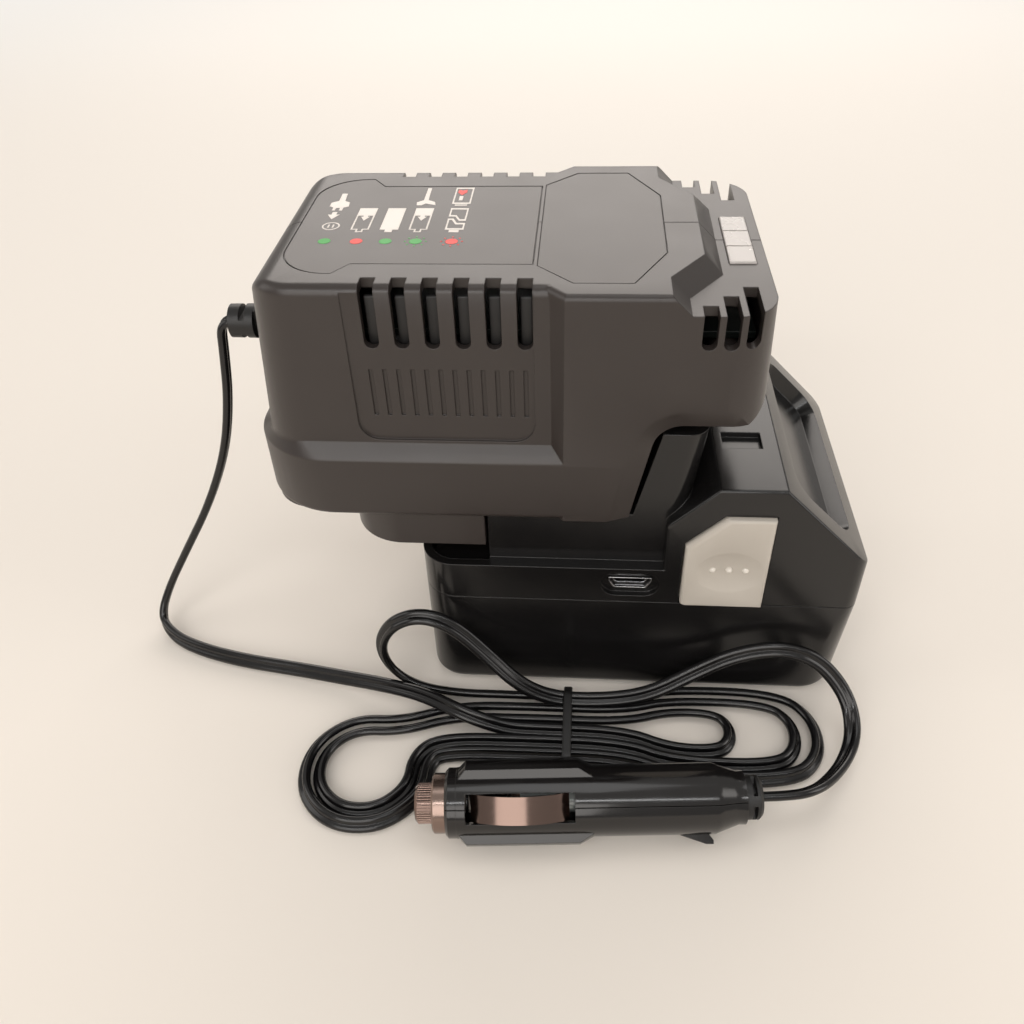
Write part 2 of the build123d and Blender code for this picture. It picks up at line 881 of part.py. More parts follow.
def core_form(inset):
    """Narrow upper body of the housing, leaning in towards its top, with a well rounded back edge."""
    front = front_back + core_overlap
    radius = core_back_radius - inset
    low_z = charger_bottom + inset
    high_z = charger_top - inset
    low = plan(core_back_low + inset, front, core_half_low - inset, radius, 0, low_z)
    high = plan(core_back_high + inset, front, core_half_high - inset, radius, 0, high_z)
    form = loft([low, high], ruled=True)
    form = form & extrude(Plane.XZ * core_side(front, low_z, high_z, inset), amount=skirt_half, both=True)
    if inset == 0:
        rims = [e for e in form.edges() if abs(e.center().Z - charger_top) < 0.01 and abs(e.center().Y) > 1]
        form = fillet(rims, core_top_radius)
    return form


def skirt_form(inset):
    """Skirt round the bottom of the housing, with a sloped ledge on top of it."""
    front = front_back + core_overlap
    radius = skirt_back_radius - inset
    bottom = charger_bottom + inset
    low = plan(skirt_back + inset, front, skirt_half - inset, radius, 0, bottom)
    skirt = extrude(low, amount=ledge_low - inset / 2 - bottom)
    if inset > 0:
        return skirt
    rim = skirt.faces().sort_by(Axis.Z)[0].edges()
    skirt = fillet([e for e in rim if e.center().X < front - 0.5], skirt_bottom_radius)
    foot = plan(skirt_back, front, skirt_half, skirt_back_radius, 0, ledge_low)
    head_back = core_back_at(ledge_high) + ledge_tuck
    head = plan(head_back, front, core_half_low - 2 * ledge_tuck, core_back_radius, 0, ledge_high)
    skirt += loft([foot, head], ruled=True)
    ledge = [e for e in skirt.edges() if abs(e.center().Z - ledge_low) < 0.01]
    return fillet([e for e in ledge if e.center().X < front - 0.5], ledge_radius)


def shoe_form(inset):
    """Shallow shoe under the back of the housing, which closes the gap above the pack's back."""
    front = riser_back - 2 * sliding_clearance
    ends = (shoe_back + inset, front - inset)
    face = plan(*ends, shoe_half - inset, shoe_radius - inset, 0, shoe_bottom + inset)
    return extrude(face, amount=charger_bottom - shoe_bottom + 1)


def charger_form(inset):
    """Outside of the housing, or the hollow inside it when inset is the wall."""
    form = core_form(inset) + skirt_form(inset) + front_form(inset)
    form -= step_cut(inset)
    form -= plateau_cut(inset)
    return form + shoe_form(inset)


def status_label_points(grow):
    """Outline of the status label, wider at its rounded back."""
    half = status_label_half + grow
    wide = status_label_half + status_label_flare + grow
    back = status_label_back - grow
    front = status_label_front + grow
    flare = status_label_flare_x
    tip = flare - status_label_flare * 0.7
    near = [(front, -half), (flare, -half), (tip, -wide), (back, -wide)]
    return near + [(x, -y) for x, y in near[::-1]]


def status_label_face(grow):
    """Face of the status label."""
    face = outline(status_label_points(grow))
    corners = face.vertices().sort_by(Axis.X)[:2]
    return fillet(corners, status_label_radius)


def rating_label_face(grow):
    """Eight-sided face of the rating label."""
    near = [
        (rating_label_front + grow, -rating_label_front_half - grow / 2),
        (rating_label_corner_front + grow / 2, -rating_label_half - grow),
        (rating_label_corner_back - grow / 2, -rating_label_half - grow),
        (rating_label_back - grow / 2, -rating_label_back_half - grow / 2),
    ]
    return outline(near + [(x, -y) for x, y in near[::-1]])


def on_top(face, depth):
    """Plate from the top of the housing down to a depth."""
    return Pos(0, 0, charger_top - depth) * extrude(face, amount=depth)


def slot_tools():
    """Vent slots over the near top edge, each with a round lower end."""
    tools = []
    for i in range(slot_count):
        x = slot_first_x + i * slot_pitch
        half = slot_width / 2
        low = slot_bottom + half
        tools.append(block(x - half, x + half, -skirt_half - 1, -slot_inner_y, low, charger_top + 1))
        tools.append(rod_y(x, low, half, -skirt_half - 1, -slot_inner_y))
    return tools


def groove_tools():
    """Shallow upright grooves in the near panel."""
    tools = []
    face = core_half_low - panel_depth - groove_depth
    for i in range(groove_count):
        x = groove_first_x + i * groove_pitch
        half = groove_width / 2
        tools.append(block(x - half, x + half, -skirt_half, -face, groove_bottom, groove_top))
    return tools


def vent_tools():
    """Corner vents at the front of the near side, each longer than the last."""
    tools = []
    for i in range(vent_count):
        x = vent_first_x + i * vent_pitch
        half = vent_width / 2
        inner = vent_first_y - i * vent_step_y
        low = vent_bottom + half
        tools.append(block(x - half, x + half, -skirt_half - 1, -inner, low, charger_top + 1))
        tools.append(rod_y(x, low, half, -skirt_half - 1, -inner))
    return tools


def panel_tool():
    """Shallow recess of the near side panel."""
    face = outline(
        (
            (panel_back, panel_bottom),
            (panel_front, panel_bottom),
            (panel_front, charger_top + 1),
            (panel_back, charger_top + 1),
        )
    )
    face = fillet(face.vertices().group_by(Axis.Y)[0], panel_radius)
    recess = core_half_low - panel_depth
    return Pos(0, -recess, 0) * extrude(Plane.XZ * face, amount=skirt_half)


def window_tool(gap):
    """Light window's upright bar, grown by a gap."""
    half_x = window_length / 2 + gap
    half_y = window_width / 2 + gap
    top = plateau_height + window_proud
    return block(window_x - half_x, window_x + half_x, -half_y, half_y, top - window_depth, top)


def make_housing_half():
    """Far half of the hollow housing, before its screw holes."""
    form = charger_form(0) & block(-beyond, beyond, seam_gap / 2, beyond, 0, beyond)
    form -= on_top(status_label_face(label_gap), label_recess)
    form -= on_top(rating_label_face(label_gap), label_recess)
    form -= mirror(panel_tool(), about=Plane.XZ)
    form -= [mirror(tool, about=Plane.XZ) for tool in groove_tools()]
    shell = form - charger_form(charger_wall)
    shell -= [mirror(tool, about=Plane.XZ) for tool in slot_tools() + vent_tools()]
    for x, z in housing_bosses:
        shell += form & rod_y(x, z, screw_boss_radius, 0, skirt_half)
    shell -= window_tool(hole_clearance)
    hole_x = post_length / 2 + post_clearance
    hole_y = post_width / 2 + post_clearance
    hole_top = board_height - well_top
    shell -= block(post_x - hole_x, post_x + hole_x, -hole_y, hole_y, shoe_bottom - 1, hole_top)
    neck = gland_neck_radius + hole_clearance
    wall = core_back_at(gland_height)
    shell -= Pos(wall, 0, gland_height) * Rot(0, 90, 0) * Cylinder(neck, 4 * charger_wall)
    return shell


def make_housing_halves():
    """Near half with blind screw holes, and far half with the stepped holes that the screws enter."""
    far = make_housing_half()
    near = mirror(far, about=Plane.XZ)
    near_end = housing_screw_seat - housing_screw_length - 1.0
    for x, z in housing_bosses:
        near -= rod_y(x, z, screw_radius + hole_clearance, near_end, 0)
        far -= rod_y(x, z, screw_radius + hole_clearance, 0, skirt_half + 1)
        far -= rod_y(x, z, screw_head_radius + hole_clearance, housing_screw_seat, skirt_half + 1)
    return near, far


def make_housing_screws():
    """Four screws that draw the housing halves together from the far side."""
    one = screw(screw_head_radius, screw_head_height, screw_radius, housing_screw_length)
    return [Pos(x, housing_screw_seat, z) * Rot(-90, 0, 0) * one for x, z in housing_bosses]


def make_status_label():
    """Thin status label in its recess."""
    plate = on_top(status_label_face(0), label_recess)
    return plate - on_top(status_label_face(1), label_recess - label_thickness)


def make_rating_label():
    """Thin rating label in its recess."""
    plate = on_top(rating_label_face(0), label_recess)
    return plate - on_top(rating_label_face(1), label_recess - label_thickness)


def make_light_window():
    """Clear bar over the status lights, with a flange under the housing's wall."""
    bar = window_tool(0)
    bar = fillet(bar.faces().sort_by(Axis.Z)[-1].edges(), window_edge_radius)
    top = plateau_height - charger_wall - hole_clearance
    half_x = window_length / 2
    half_y = window_width / 2 + window_flange
    back = window_x - half_x - window_flange
    return bar + block(back, window_x + half_x, -half_y, half_y, top - window_flange_height, top)


# Charger: inside


def make_circuit_board():
    """Board under the housing's top, clear of the screw bosses."""
    half = board_width / 2
    return block(board_back, board_front, -half, half, board_height, board_height + board_thickness)


def make_contact_block():
    """Well that takes the pack's post, closed at the top under the board."""
    inner_x = post_length / 2 + post_clearance
    inner_y = post_width / 2 + post_clearance
    outer_x = inner_x + well_wall
    outer_y = inner_y + well_wall
    low = charger_bottom + charger_wall + seat_clearance
    high = board_height - seat_clearance
    roof = board_height - well_top
    well = block(post_x - outer_x, post_x + outer_x, -outer_y, outer_y, low, high)
    well -= block(post_x - inner_x, post_x + inner_x, -inner_y, inner_y, low - 1, roof)
    for blade in blade_blanks(hole_clearance / 2):
        well -= blade
    return well


def blade_blanks(gap):
    """Upright contact strips in the walls of the well, facing the post's plates."""
    wall = post_width / 2 + post_clearance
    strips = []
    for side in (-1, 1):
        for step in (-1, 1):
            x = post_x + step * terminal_spacing / 2
            half = terminal_width / 2 - blade_margin + gap
            face = side * (wall - seat_clearance)
            back = face + side * (blade_thickness + gap)
            top = post_height - blade_drop + gap
            low = top - terminal_height + blade_drop - 2 * gap
            strips.append(block(x - half, x + half, min(face, back), max(face, back), low, top))
    return strips


def make_transformer():
    """Ferrite core with its winding, hung under the board."""
    core = block(
        transformer_x - transformer_length / 2,
        transformer_x + transformer_length / 2,
        -transformer_width / 2,
        transformer_width / 2,
        board_height - transformer_height,
        board_height,
    )
    middle = board_height - transformer_height / 2
    gap_height = transformer_height - 2 * transformer_leg
    gap_width = transformer_width / 2 - 1.5 * transformer_leg
    for side in (-1, 1):
        y = side * (transformer_leg + gap_width) / 2
        core -= Pos(transformer_x, y, middle) * Box(transformer_length + 1, gap_width, gap_height)
    long = transformer_length + 2 * winding_overhang
    winding = Pos(transformer_x, 0, middle) * Box(long, winding_width, gap_height - 1)
    winding = fillet(winding.edges().filter_by(Axis.Z), winding_radius)
    return core + winding


def make_capacitors():
    """Three upright can capacitors under the board."""
    z = board_height - capacitor_height / 2
    cans = []
    for i in range(capacitor_count):
        y = (i - (capacitor_count - 1) / 2) * capacitor_pitch
        can = Pos(capacitor_x, y, z) * Cylinder(capacitor_radius, capacitor_height)
        cans.append(fillet(can.edges().group_by(Axis.Z)[0], capacitor_edge))
    return cans


def make_choke_coil():
    """Ring choke lying flat under the board."""
    z = board_height - choke_height / 2
    ring = Cylinder(choke_radius, choke_height) - Cylinder(choke_bore, choke_height)
    return Pos(choke_x, choke_y, z) * fillet(ring.edges(), choke_edge)


def make_heat_sink():
    """Finned metal bar under the board at the far side."""
    x0 = transformer_x - sink_length / 2
    z0 = board_height - sink_height
    fin_end = sink_y + sink_fin_depth - sink_plate
    sink = block(x0, x0 + sink_length, sink_y - sink_plate, sink_y, z0, board_height)
    for i in range(sink_fin_count):
        x = x0 + i * (sink_length - sink_fin_thickness) / (sink_fin_count - 1)
        sink += block(x, x + sink_fin_thickness, sink_y - sink_plate / 2, fin_end, z0, board_height)
    return sink


def make_status_lights():
    """Small round lights on the board, under the window."""
    z = board_height + board_thickness
    lights = []
    for i in range(light_count):
        y = (i - (light_count - 1) / 2) * light_pitch
        light = Pos(window_x, y, z + light_height / 2) * Cylinder(light_radius, light_height)
        lights.append(fillet(light.edges().group_by(Axis.Z)[-1], light_edge))
    return lights


def gland_root():
    """Outer face of the strain relief's root, clear of the leaning wall."""
    return core_back_at(gland_height) - gland_gap - gland_root_radius * core_lean


def gland_end():
    """Where the cord leaves the strain relief."""
    return gland_root() - gland_length


def make_cord_gland():
    """Ribbed strain relief through the housing's back wall, with open slots along it."""
    outer = gland_root()
    inner = core_back_at(gland_height) + charger_wall + gland_gap + gland_root_radius * core_lean
    cone = Cone(gland_root_radius, gland_end_radius, gland_length)
    neck = Cylinder(gland_neck_radius, inner - outer)
    flange = Cylinder(gland_root_radius, gland_flange)
    gland = Pos(outer - gland_length / 2, 0, gland_height) * Rot(0, -90, 0) * cone
    gland += Pos((outer + inner) / 2, 0, gland_height) * Rot(0, 90, 0) * neck
    gland += Pos(inner + gland_flange / 2, 0, gland_height) * Rot(0, 90, 0) * flange
    step = gland_length / (gland_slot_count + 1)
    cut = Box(gland_slot_width, 3 * gland_root_radius, 2 * gland_root_radius)
    lift = cord_diameter / 2 + gland_sleeve + gland_root_radius
    for i in range(gland_slot_count):
        turn = Rot(90, 0, 0) if i % 2 else Rot(0, 0, 0)
        for side in (-1, 1):
            gland -= Pos(outer - (i + 1) * step, 0, gland_height) * turn * Pos(0, 0, side * lift) * cut
    return gland


# Cord


def waist_y(slot):
    """Side place of a strand at the tie, counted in strand pitches."""
    return hank_waist_y + slot * hank_pitch


def layer_z(layer):
    """Height of a strand's middle in a layer of the hank."""
    return tie_thickness + tie_gap + cord_diameter / 2 + layer * hank_layer


def drop_points():
    """Route from the gland to the floor and along it to the tie."""
    x = gland_end()
    z = gland_height
    waist = hank_waist_x - hank_waist_run / 2
    return [
        (x, 0, z),
        (x - 3.4, 0, z),
        (x - 4.4, -1.2, z - 8.6),
        (x - 5.6, -4.0, z - 22.0),
        (x - 9.2, -6.6, z - 38.0),
        (x - 16.0, -10.0, z - 55.0),
        (x - 25.2, -13.2, z - 71.0),
        (x - 33.6, -16.8, z - 84.5),
        (x - 38.0, -22.6, z - 93.6),
        (x - 32.4, -29.4, cord_diameter / 2 + 0.1),
        (x - 21.2, -34.2, cord_diameter / 2),
        (x - 7.0, -37.6, cord_diameter / 2),
        (x + 9.4, -39.8, cord_diameter / 2 + 0.2),
        (x + 24.4, -42.6, cord_diameter / 2 + 1.0),
        (x + 38.4, -46.0, layer_z(1) - 1.6),
        (x + 50.4, -50.0, layer_z(1) + 0.4),
        (x + 60.4, -55.2, layer_z(1) + 0.5),
        (waist - 13.0, waist_y(-0.5) + 0.2, layer_z(1) - 0.8),
        (waist - 6.0, waist_y(-0.5), layer_z(0)),
        (waist, waist_y(-0.5), layer_z(0)),
    ]


def tail_points():
    """Route from the hank round its raised loop, back through the tie and round to the plug."""
    waist = hank_waist_x - hank_waist_run / 2
    beyond = hank_waist_x + hank_waist_run / 2
    end = (plug_place() * Pos(plug_length(), 0, 0)).position
    way = (plug_place() * Pos(plug_length() + 8, 0, 0)).position
    return [
        (waist, waist_y(2.5), layer_z(0)),
        (waist - 9.0, waist_y(2.5), layer_z(0)),
        (waist - 21.0, -45.4, layer_z(0) - 0.2),
        (waist - 32.0, -43.0, layer_z(0) + 1.2),
        (waist - 40.6, -42.2, 9.4),
        (waist - 43.2, -42.2, 18.4),
        (waist - 39.0, -42.4, 27.2),
        (waist - 30.6, -42.6, 31.6),
        (waist - 21.6, -42.8, 27.8),
        (waist - 13.0, -44.6, 19.2),
        (waist - 4.0, -48.6, 11.4),
        (waist + 6.0, waist_y(1.5), layer_z(1) + 0.1),
        (beyond + 1.0, waist_y(1.5) + 0.3, layer_z(1) + 0.1),
        (beyond + 13.0, -47.4, layer_z(1) + 1.4),
        (beyond + 24.6, -43.8, 13.2),
        (beyond + 35.4, -42.6, 20.0),
        (beyond + 47.0, -42.4, 23.0),
        (beyond + 57.0, -43.2, 20.2),
        (beyond + 64.6, -45.4, 13.4),
        (beyond + 69.2, -50.4, 6.4),
        (beyond + 69.0, -58.4, 3.4),
        (beyond + 63.6, -66.0, 4.4),
        (beyond + 56.0, -72.0, 7.4),
        (way.X, way.Y, way.Z),
        (end.X, end.Y, end.Z),
    ]


def run_radii(points):
    """Largest tangent arc at each corner of a route."""
    radii = []
    for a, b, c in zip(points, points[1:], points[2:]):
        before = Vector(*b) - Vector(*a)
        after = Vector(*c) - Vector(*b)
        half_turn = math.radians(before.get_angle(after)) / 2
        radii.append(0.45 * min(before.length, after.length) / math.tan(half_turn))
    return radii


def tube(path, name):
    """Round cord along a path, with its volume compared with its section times its length."""
    section = Plane(origin=path @ 0, z_dir=path % 0) * Circle(cord_diameter / 2)
    solid = sweep(section, path=path)
    ideal = math.pi * cord_diameter**2 / 4 * path.length
    print(name, "length", round(path.length, 1), "volume share", round(solid.volume / ideal, 4))
    return solid


def routed_tube(points, name):
    """Cord along straight runs that tangent arcs join."""
    radii = run_radii(points)
    print(name, "least radius", round(min(radii), 1), "radii", [round(r, 1) for r in radii])
    return tube(FilletPolyline(*points, radius=radii), name)


class HankPath:
    """Centre line of the hank, grown edge by edge from the tie."""

    def __init__(self, x, y, z, heading):
        self.here = Vector(x, y, z)
        self.heading = heading
        self.edges = []

    def way(self):
        """Direction of travel in plan."""
        angle = math.radians(self.heading)
        return Vector(math.cos(angle), math.sin(angle), 0)

    def run(self, length):
        """Straight run in plan."""
        ahead = self.here + self.way() * length
        self.edges.append(Line(self.here, ahead))
        self.here = ahead

    def run_to(self, x):
        """Straight run along X to a place."""
        self.run(abs(x - self.here.X))

    def turn(self, radius, angle):
        """Arc in plan, to the left where the angle is positive."""
        side = 1 if angle > 0 else -1
        middle = self.here + self.way().rotate(Axis.Z, 90 * side) * radius
        spoke = self.here - middle
        half = middle + spoke.rotate(Axis.Z, angle / 2)
        ahead = middle + spoke.rotate(Axis.Z, angle)
        self.edges.append(ThreePointArc(self.here, half, ahead))
        self.here = ahead
        self.heading += angle

    def sidestep(self, length, offset):
        """Two equal arcs that move the strand to its left by an offset over a length."""
        if abs(offset) < 0.01:
            self.run(length)
            return
        radius = (length**2 + offset**2) / (4 * abs(offset))
        angle = math.degrees(math.asin(length / 2 / radius))
        side = 1 if offset > 0 else -1
        self.turn(radius, side * angle)
        self.turn(radius, -side * angle)


def hank_path():
    """Three loops to the right and two to the left of the tie, all turning the same way."""
    left = hank_waist_x - hank_waist_run / 2
    right = hank_waist_x + hank_waist_run / 2
    path = HankPath(left, waist_y(-0.5), layer_z(0), 0)
    loops = len(right_turn_places)
    for k, turn_x in enumerate(right_turn_places):
        radius = right_turn_radius + k * hank_pitch
        path.run_to(right)
        path.sidestep(right_lead, waist_y(0) - radius - path.here.Y)
        path.run_to(turn_x)
        path.turn(radius, 180)
        path.run(turn_x - right - right_lead)
        path.sidestep(right_lead, path.here.Y - waist_y(0.5 + k))
        if k == loops - 1:
            path.run_to(left)
            break
        radius = left_turn_radius + k * hank_pitch
        top = waist_y(0.5 + k) - left_shift
        path.run_to(left_turn_x + left_lead)
        path.sidestep(left_lead, path.here.Y - top)
        path.turn(radius, 270)
        path.turn(waist_y(-1.5 - k) - top + radius, -90)
    return path.edges


def least_self_gap(path):
    """Smallest gap between two stretches of the hank, measured on points along it."""
    count = int(path.length / 1.5)
    points = [path @ (i / count) for i in range(count + 1)]
    apart = int(math.pi * right_turn_radius / 1.5) - 2
    least = min(
        (points[i] - points[j]).length for i in range(count + 1) for j in range(i + apart, count + 1)
    )
    return least - cord_diameter


def make_cord_hank():
    """Tied loops of the cord, as one unbroken tube."""
    path = Wire(hank_path())
    print("cord_hank least gap to itself", round(least_self_gap(path), 2))
    return tube(path, "cord_hank")


def make_cord_tie():
    """Flat tie drawn round the strands at the waist."""
    strands = [(waist_y(slot - 2.5), layer_z(0)) for slot in range(6)] + [(waist_y(1.5), layer_z(1))]

    def ring(radius):
        return make_hull([Pos(y, z) * Circle(radius).edge() for y, z in strands])

    inner = cord_diameter / 2 + tie_gap
    middle = Plane(origin=(hank_waist_x, 0, 0), x_dir=(0, 1, 0), z_dir=(1, 0, 0))
    return extrude(middle * (ring(inner + tie_thickness) - ring(inner)), amount=tie_width / 2, both=True)


# Plug, built along +X from its tip and then laid on the floor


def plug_length():
    """Length from the tip to the end of the grommet."""
    return neck_end + grommet_length


def plug_axis_height():
    """Height of the plug's axis, so that its lowest rib or contact rests on the floor."""
    roll = math.radians(plug_roll)
    rib_reach = math.sqrt(rib_radius**2 - rib_half**2)
    rib_low = rib_reach * math.sin(roll) + rib_half * math.cos(roll)
    contact_low = contact_reach * math.cos(roll) + contact_width / 2 * math.sin(roll)
    return max(rib_low, contact_low)


def plug_place():
    """Place of the plug's own axis on the floor."""
    return Location((plug_tip_x, plug_tip_y, plug_axis_height()), (0, 0, plug_turn))


def lay(shape):
    """A plug piece, rolled about its axis and laid on the floor."""
    return plug_place() * Rot(plug_roll, 0, 0) * shape


def rod_x(radius, x0, x1):
    """Cylinder along the plug's axis."""
    return Pos((x0 + x1) / 2, 0, 0) * Rot(0, 90, 0) * Cylinder(radius, x1 - x0)


def contact_window(grow):
    """Opening for the upper side contact."""
    half = contact_width / 2 + grow
    return block(contact_start - 1 - grow, contact_end + 1 + grow, -half, half, 0, 2 * rib_radius)


def cone_x(radius0, radius1, x0, x1):
    """Cone along the plug's axis."""
    return Pos((x0 + x1) / 2, 0, 0) * Rot(0, 90, 0) * Cone(radius0, radius1, x1 - x0)


def plug_ribs():
    """Two ribs beside the contacts, sloped at both ends."""
    root = rib_radius - rib_rise
    front = rib_start + rib_front_slope
    back = rib_end - rib_back_slope
    bar = rod_x(rib_radius, front, back)
    bar += cone_x(root, rib_radius, rib_start, front)
    bar += cone_x(rib_radius, root, back, rib_end)
    return bar & block(rib_start, rib_end, -rib_radius, rib_radius, -rib_half, rib_half)


def plug_pull():
    """Curved thumb tab under the rear of the plug."""
    root = body_radius - 1
    tip = pull_reach - pull_tip_radius
    side = outline(
        (
            (pull_start, -root),
            (pull_end - 2 * pull_tip_radius, -pull_reach),
            (pull_end, -pull_reach),
            (pull_end, -tip),
            (pull_end - 2 * pull_tip_radius, -root),
        )
    )
    return extrude(side, amount=pull_half, both=True)


def plug_form():
    """Outside of the plug's two shells."""
    start = tip_length + ring_length
    form = rod_x(collar_radius, start, collar_end)
    form = chamfer(form.faces().sort_by(Axis.X)[0].edges(), tip_edge)
    form += rod_x(body_radius, collar_end, body_end)
    form += plug_ribs()
    form += cone_x(body_radius, neck_radius, body_end, taper_end)
    form += rod_x(neck_radius, taper_end, neck_end)
    return form + plug_pull()


def make_plug_shells():
    """Upper and lower shells of the plug, split through its contacts, with room for the fuse."""
    form = plug_form()
    form -= rod_x(plug_bore_radius, 0, plug_bore_end)
    form -= rod_x(cord_diameter / 2 + hole_clearance + 1, plug_bore_end - 1, neck_end + 1)
    form -= contact_window(sliding_clearance)
    form -= Rot(180, 0, 0) * contact_window(sliding_clearance)
    form -= shell_screw_hole()
    upper = form & block(-1, beyond, seam_gap / 2, beyond, -beyond, beyond)
    lower = form & block(-1, beyond, -beyond, -seam_gap / 2, -beyond, beyond)
    return upper, lower


def shell_screw_place():
    """Seat of the shell screw, beside the cord, with the screw's head towards the lower shell."""
    x = (plug_bore_end + body_end) / 2
    side = cord_diameter / 2 + plug_screw_head_radius + plug_screw_margin
    return Pos(x, -plug_screw_seat, -side) * Rot(90, 0, 0)


def shell_screw_hole():
    """Stepped hole for the screw that holds the plug's shells together, entered from below."""
    shank = plug_screw_length + seat_clearance
    hole = Pos(0, 0, -shank / 2) * Cylinder(plug_screw_radius + hole_clearance, shank)
    head = Pos(0, 0, rib_radius / 2) * Cylinder(plug_screw_head_radius + hole_clearance, rib_radius)
    return shell_screw_place() * (hole + head)


def make_plug_screw():
    """Screw through the plug's lower shell."""
    sizes = (plug_screw_head_radius, plug_screw_head_height, plug_screw_radius, plug_screw_length)
    return shell_screw_place() * screw(*sizes)


def make_plug_tip():
    """Knurled sprung tip with its stem and flange."""
    head = rod_x(tip_radius, 0, tip_length)
    head = chamfer(head.faces().sort_by(Axis.X)[0].edges(), tip_edge)
    flute = Rot(0, 90, 0) * Cylinder(flute_radius, tip_length)
    flute = Pos(tip_length / 2, 0, tip_radius + flute_lift) * flute
    for i in range(tip_flutes):
        head -= Rot(i * 360 / tip_flutes, 0, 0) * flute
    flange_start = tip_length + ring_length + hole_clearance
    stem = rod_x(tip_stem_radius + 1.2, tip_length - 0.2, flange_start)
    flange = rod_x(tip_flange_radius, flange_start, flange_start + tip_flange_thickness)
    return head + stem + flange


def spring_start():
    """Front end of the tip's spring."""
    return tip_length + ring_length + hole_clearance + tip_flange_thickness


def fuse_start():
    """Front end of the fuse."""
    return plug_bore_end - fuse_length


def make_tip_spring():
    """Spring between the tip's flange and the fuse."""
    length = fuse_start() - spring_start() - 0.2
    place = Pos(spring_start() + 0.1, 0, 0) * Rot(0, 90, 0)
    return place * coil_spring(tip_stem_radius + 1.0, tip_spring_wire, tip_spring_turns, length)


def make_plug_fuse():
    """Fuse tube with its two end caps, sleeved in the bore."""
    start = fuse_start()
    end = start + fuse_length
    glass = rod_x(fuse_radius - fuse_cap_wall, start + 1, end - 1)
    caps = rod_x(fuse_radius, start, start + fuse_cap) + rod_x(fuse_radius, end - fuse_cap, end)
    sleeve = rod_x(plug_bore_radius - hole_clearance, end - fuse_sleeve, end)
    return glass + caps + sleeve


def make_nose_ring():
    """Metal ring that closes the front of the plug."""
    ring = rod_x(ring_radius, tip_length, tip_length + ring_length)
    ring = chamfer(ring.faces().sort_by(Axis.X)[0].edges(), 0.5)
    return ring - rod_x(tip_radius + 0.35, tip_length - 1, tip_length + ring_length + 1)


def make_side_contact():
    """Upper bowed contact strip, with its feet inside the shell."""
    half = contact_width / 2
    middle = (contact_start + contact_end) / 2
    crown = contact_reach
    foot = body_radius - contact_travel - 1.2
    path = ThreePointArc((contact_start, 0, foot), (middle, 0, crown), (contact_end, 0, foot))
    bow = make_face(
        [
            path,
            Line((contact_end, 0, foot), (contact_end, 0, foot - contact_thickness)),
            ThreePointArc(
                (contact_end, 0, foot - contact_thickness),
                (middle, 0, crown - contact_thickness),
                (contact_start, 0, foot - contact_thickness),
            ),
            Line((contact_start, 0, foot - contact_thickness), (contact_start, 0, foot)),
        ]
    )
    return extrude(bow, amount=half, dir=(0, 1, 0), both=True)


def make_plug_grommet():
    """Rubber sleeve with slots round it, where the cord enters the plug."""
    start = neck_end + hole_clearance / 2
    end = neck_end + grommet_length
    sleeve = rod_x(grommet_radius, start, end)
    sleeve = chamfer(sleeve.faces().sort_by(Axis.X)[-1].edges(), grommet_edge)
    core = cord_diameter / 2 + 1.0
    slot = (start + end - grommet_slot) / 2
    groove = rod_x(grommet_radius + 1, slot, slot + grommet_slot) - rod_x(core + 1, slot - 1, end)
    bridge = Pos(slot, 0, 0) * Box(2 * grommet_length, grommet_bridge, 3 * grommet_radius)
    groove = groove - bridge - Rot(90, 0, 0) * bridge
    root = rod_x(core, neck_end - grommet_length, start)
    return sleeve - groove + root


# Nodes


def build_nodes():
    """Every piece of the charger, the pack, the cord and the plug by name."""
    housing_near, housing_far = make_housing_halves()
    upper_shell, lower_shell = make_plug_shells()
    latch = make_latch()
    latch_spring = make_latch_spring()
    contact = make_side_contact()
    nodes = {
        "housing_near_half": housing_near,
        "housing_far_half": housing_far,
        "housing_screws": make_housing_screws(),
        "status_label": make_status_label(),
        "rating_label": make_rating_label(),
        "light_window": make_light_window(),
        "circuit_board": make_circuit_board(),
        "transformer": make_transformer(),
        "capacitors": make_capacitors(),
        "choke_coil": make_choke_coil(),
        "heat_sink": make_heat_sink(),
        "status_lights": make_status_lights(),
        "contact_block": make_contact_block(),
        "contact_blades": blade_blanks(0),
        "cord_gland": make_cord_gland(),
        "lower_case": make_lower_case(),
        "upper_cover": make_upper_cover(),
        "case_screws": make_case_screws(),
        "cells": make_cells(),
        "cell_holders": make_cell_holders(),
        "cell_straps": make_cell_straps(),
        "pack_board": make_pack_board(),
        "usb_socket": make_usb_socket(),
        "post_terminals": make_post_terminals(),
        "latch_near": latch,
        "latch_far": mirror(latch, about=Plane.XZ),
        "latch_spring_near": latch_spring,
        "latch_spring_far": mirror(latch_spring, about=Plane.XZ),
        "cord_drop": routed_tube(drop_points(), "cord_drop"),
        "cord_hank": make_cord_hank(),
        "cord_tail": routed_tube(tail_points(), "cord_tail"),
        "cord_tie": make_cord_tie(),
        "plug_upper_shell": lay(upper_shell),
        "plug_lower_shell": lay(lower_shell),
        "plug_screw": lay(make_plug_screw()),
        "plug_tip": lay(make_plug_tip()),
        "plug_tip_spring": lay(make_tip_spring()),
        "plug_fuse": lay(make_plug_fuse()),
        "plug_nose_ring": lay(make_nose_ring()),
        "plug_contact_upper": lay(contact),
        "plug_contact_lower": lay(Rot(180, 0, 0) * contact),
        "plug_grommet": lay(make_plug_grommet()),
    }
    return nodes


def main():
    """Writes one file for each node."""
    os.makedirs("parts", exist_ok=True)
    for name, shape in build_nodes().items():
        solids = shape if isinstance(shape, list) else [shape]
        pieces = [solid for piece in solids for solid in piece.solids()]
        export_step(Compound(children=pieces), os.path.join("parts", name + ".step"))


main()
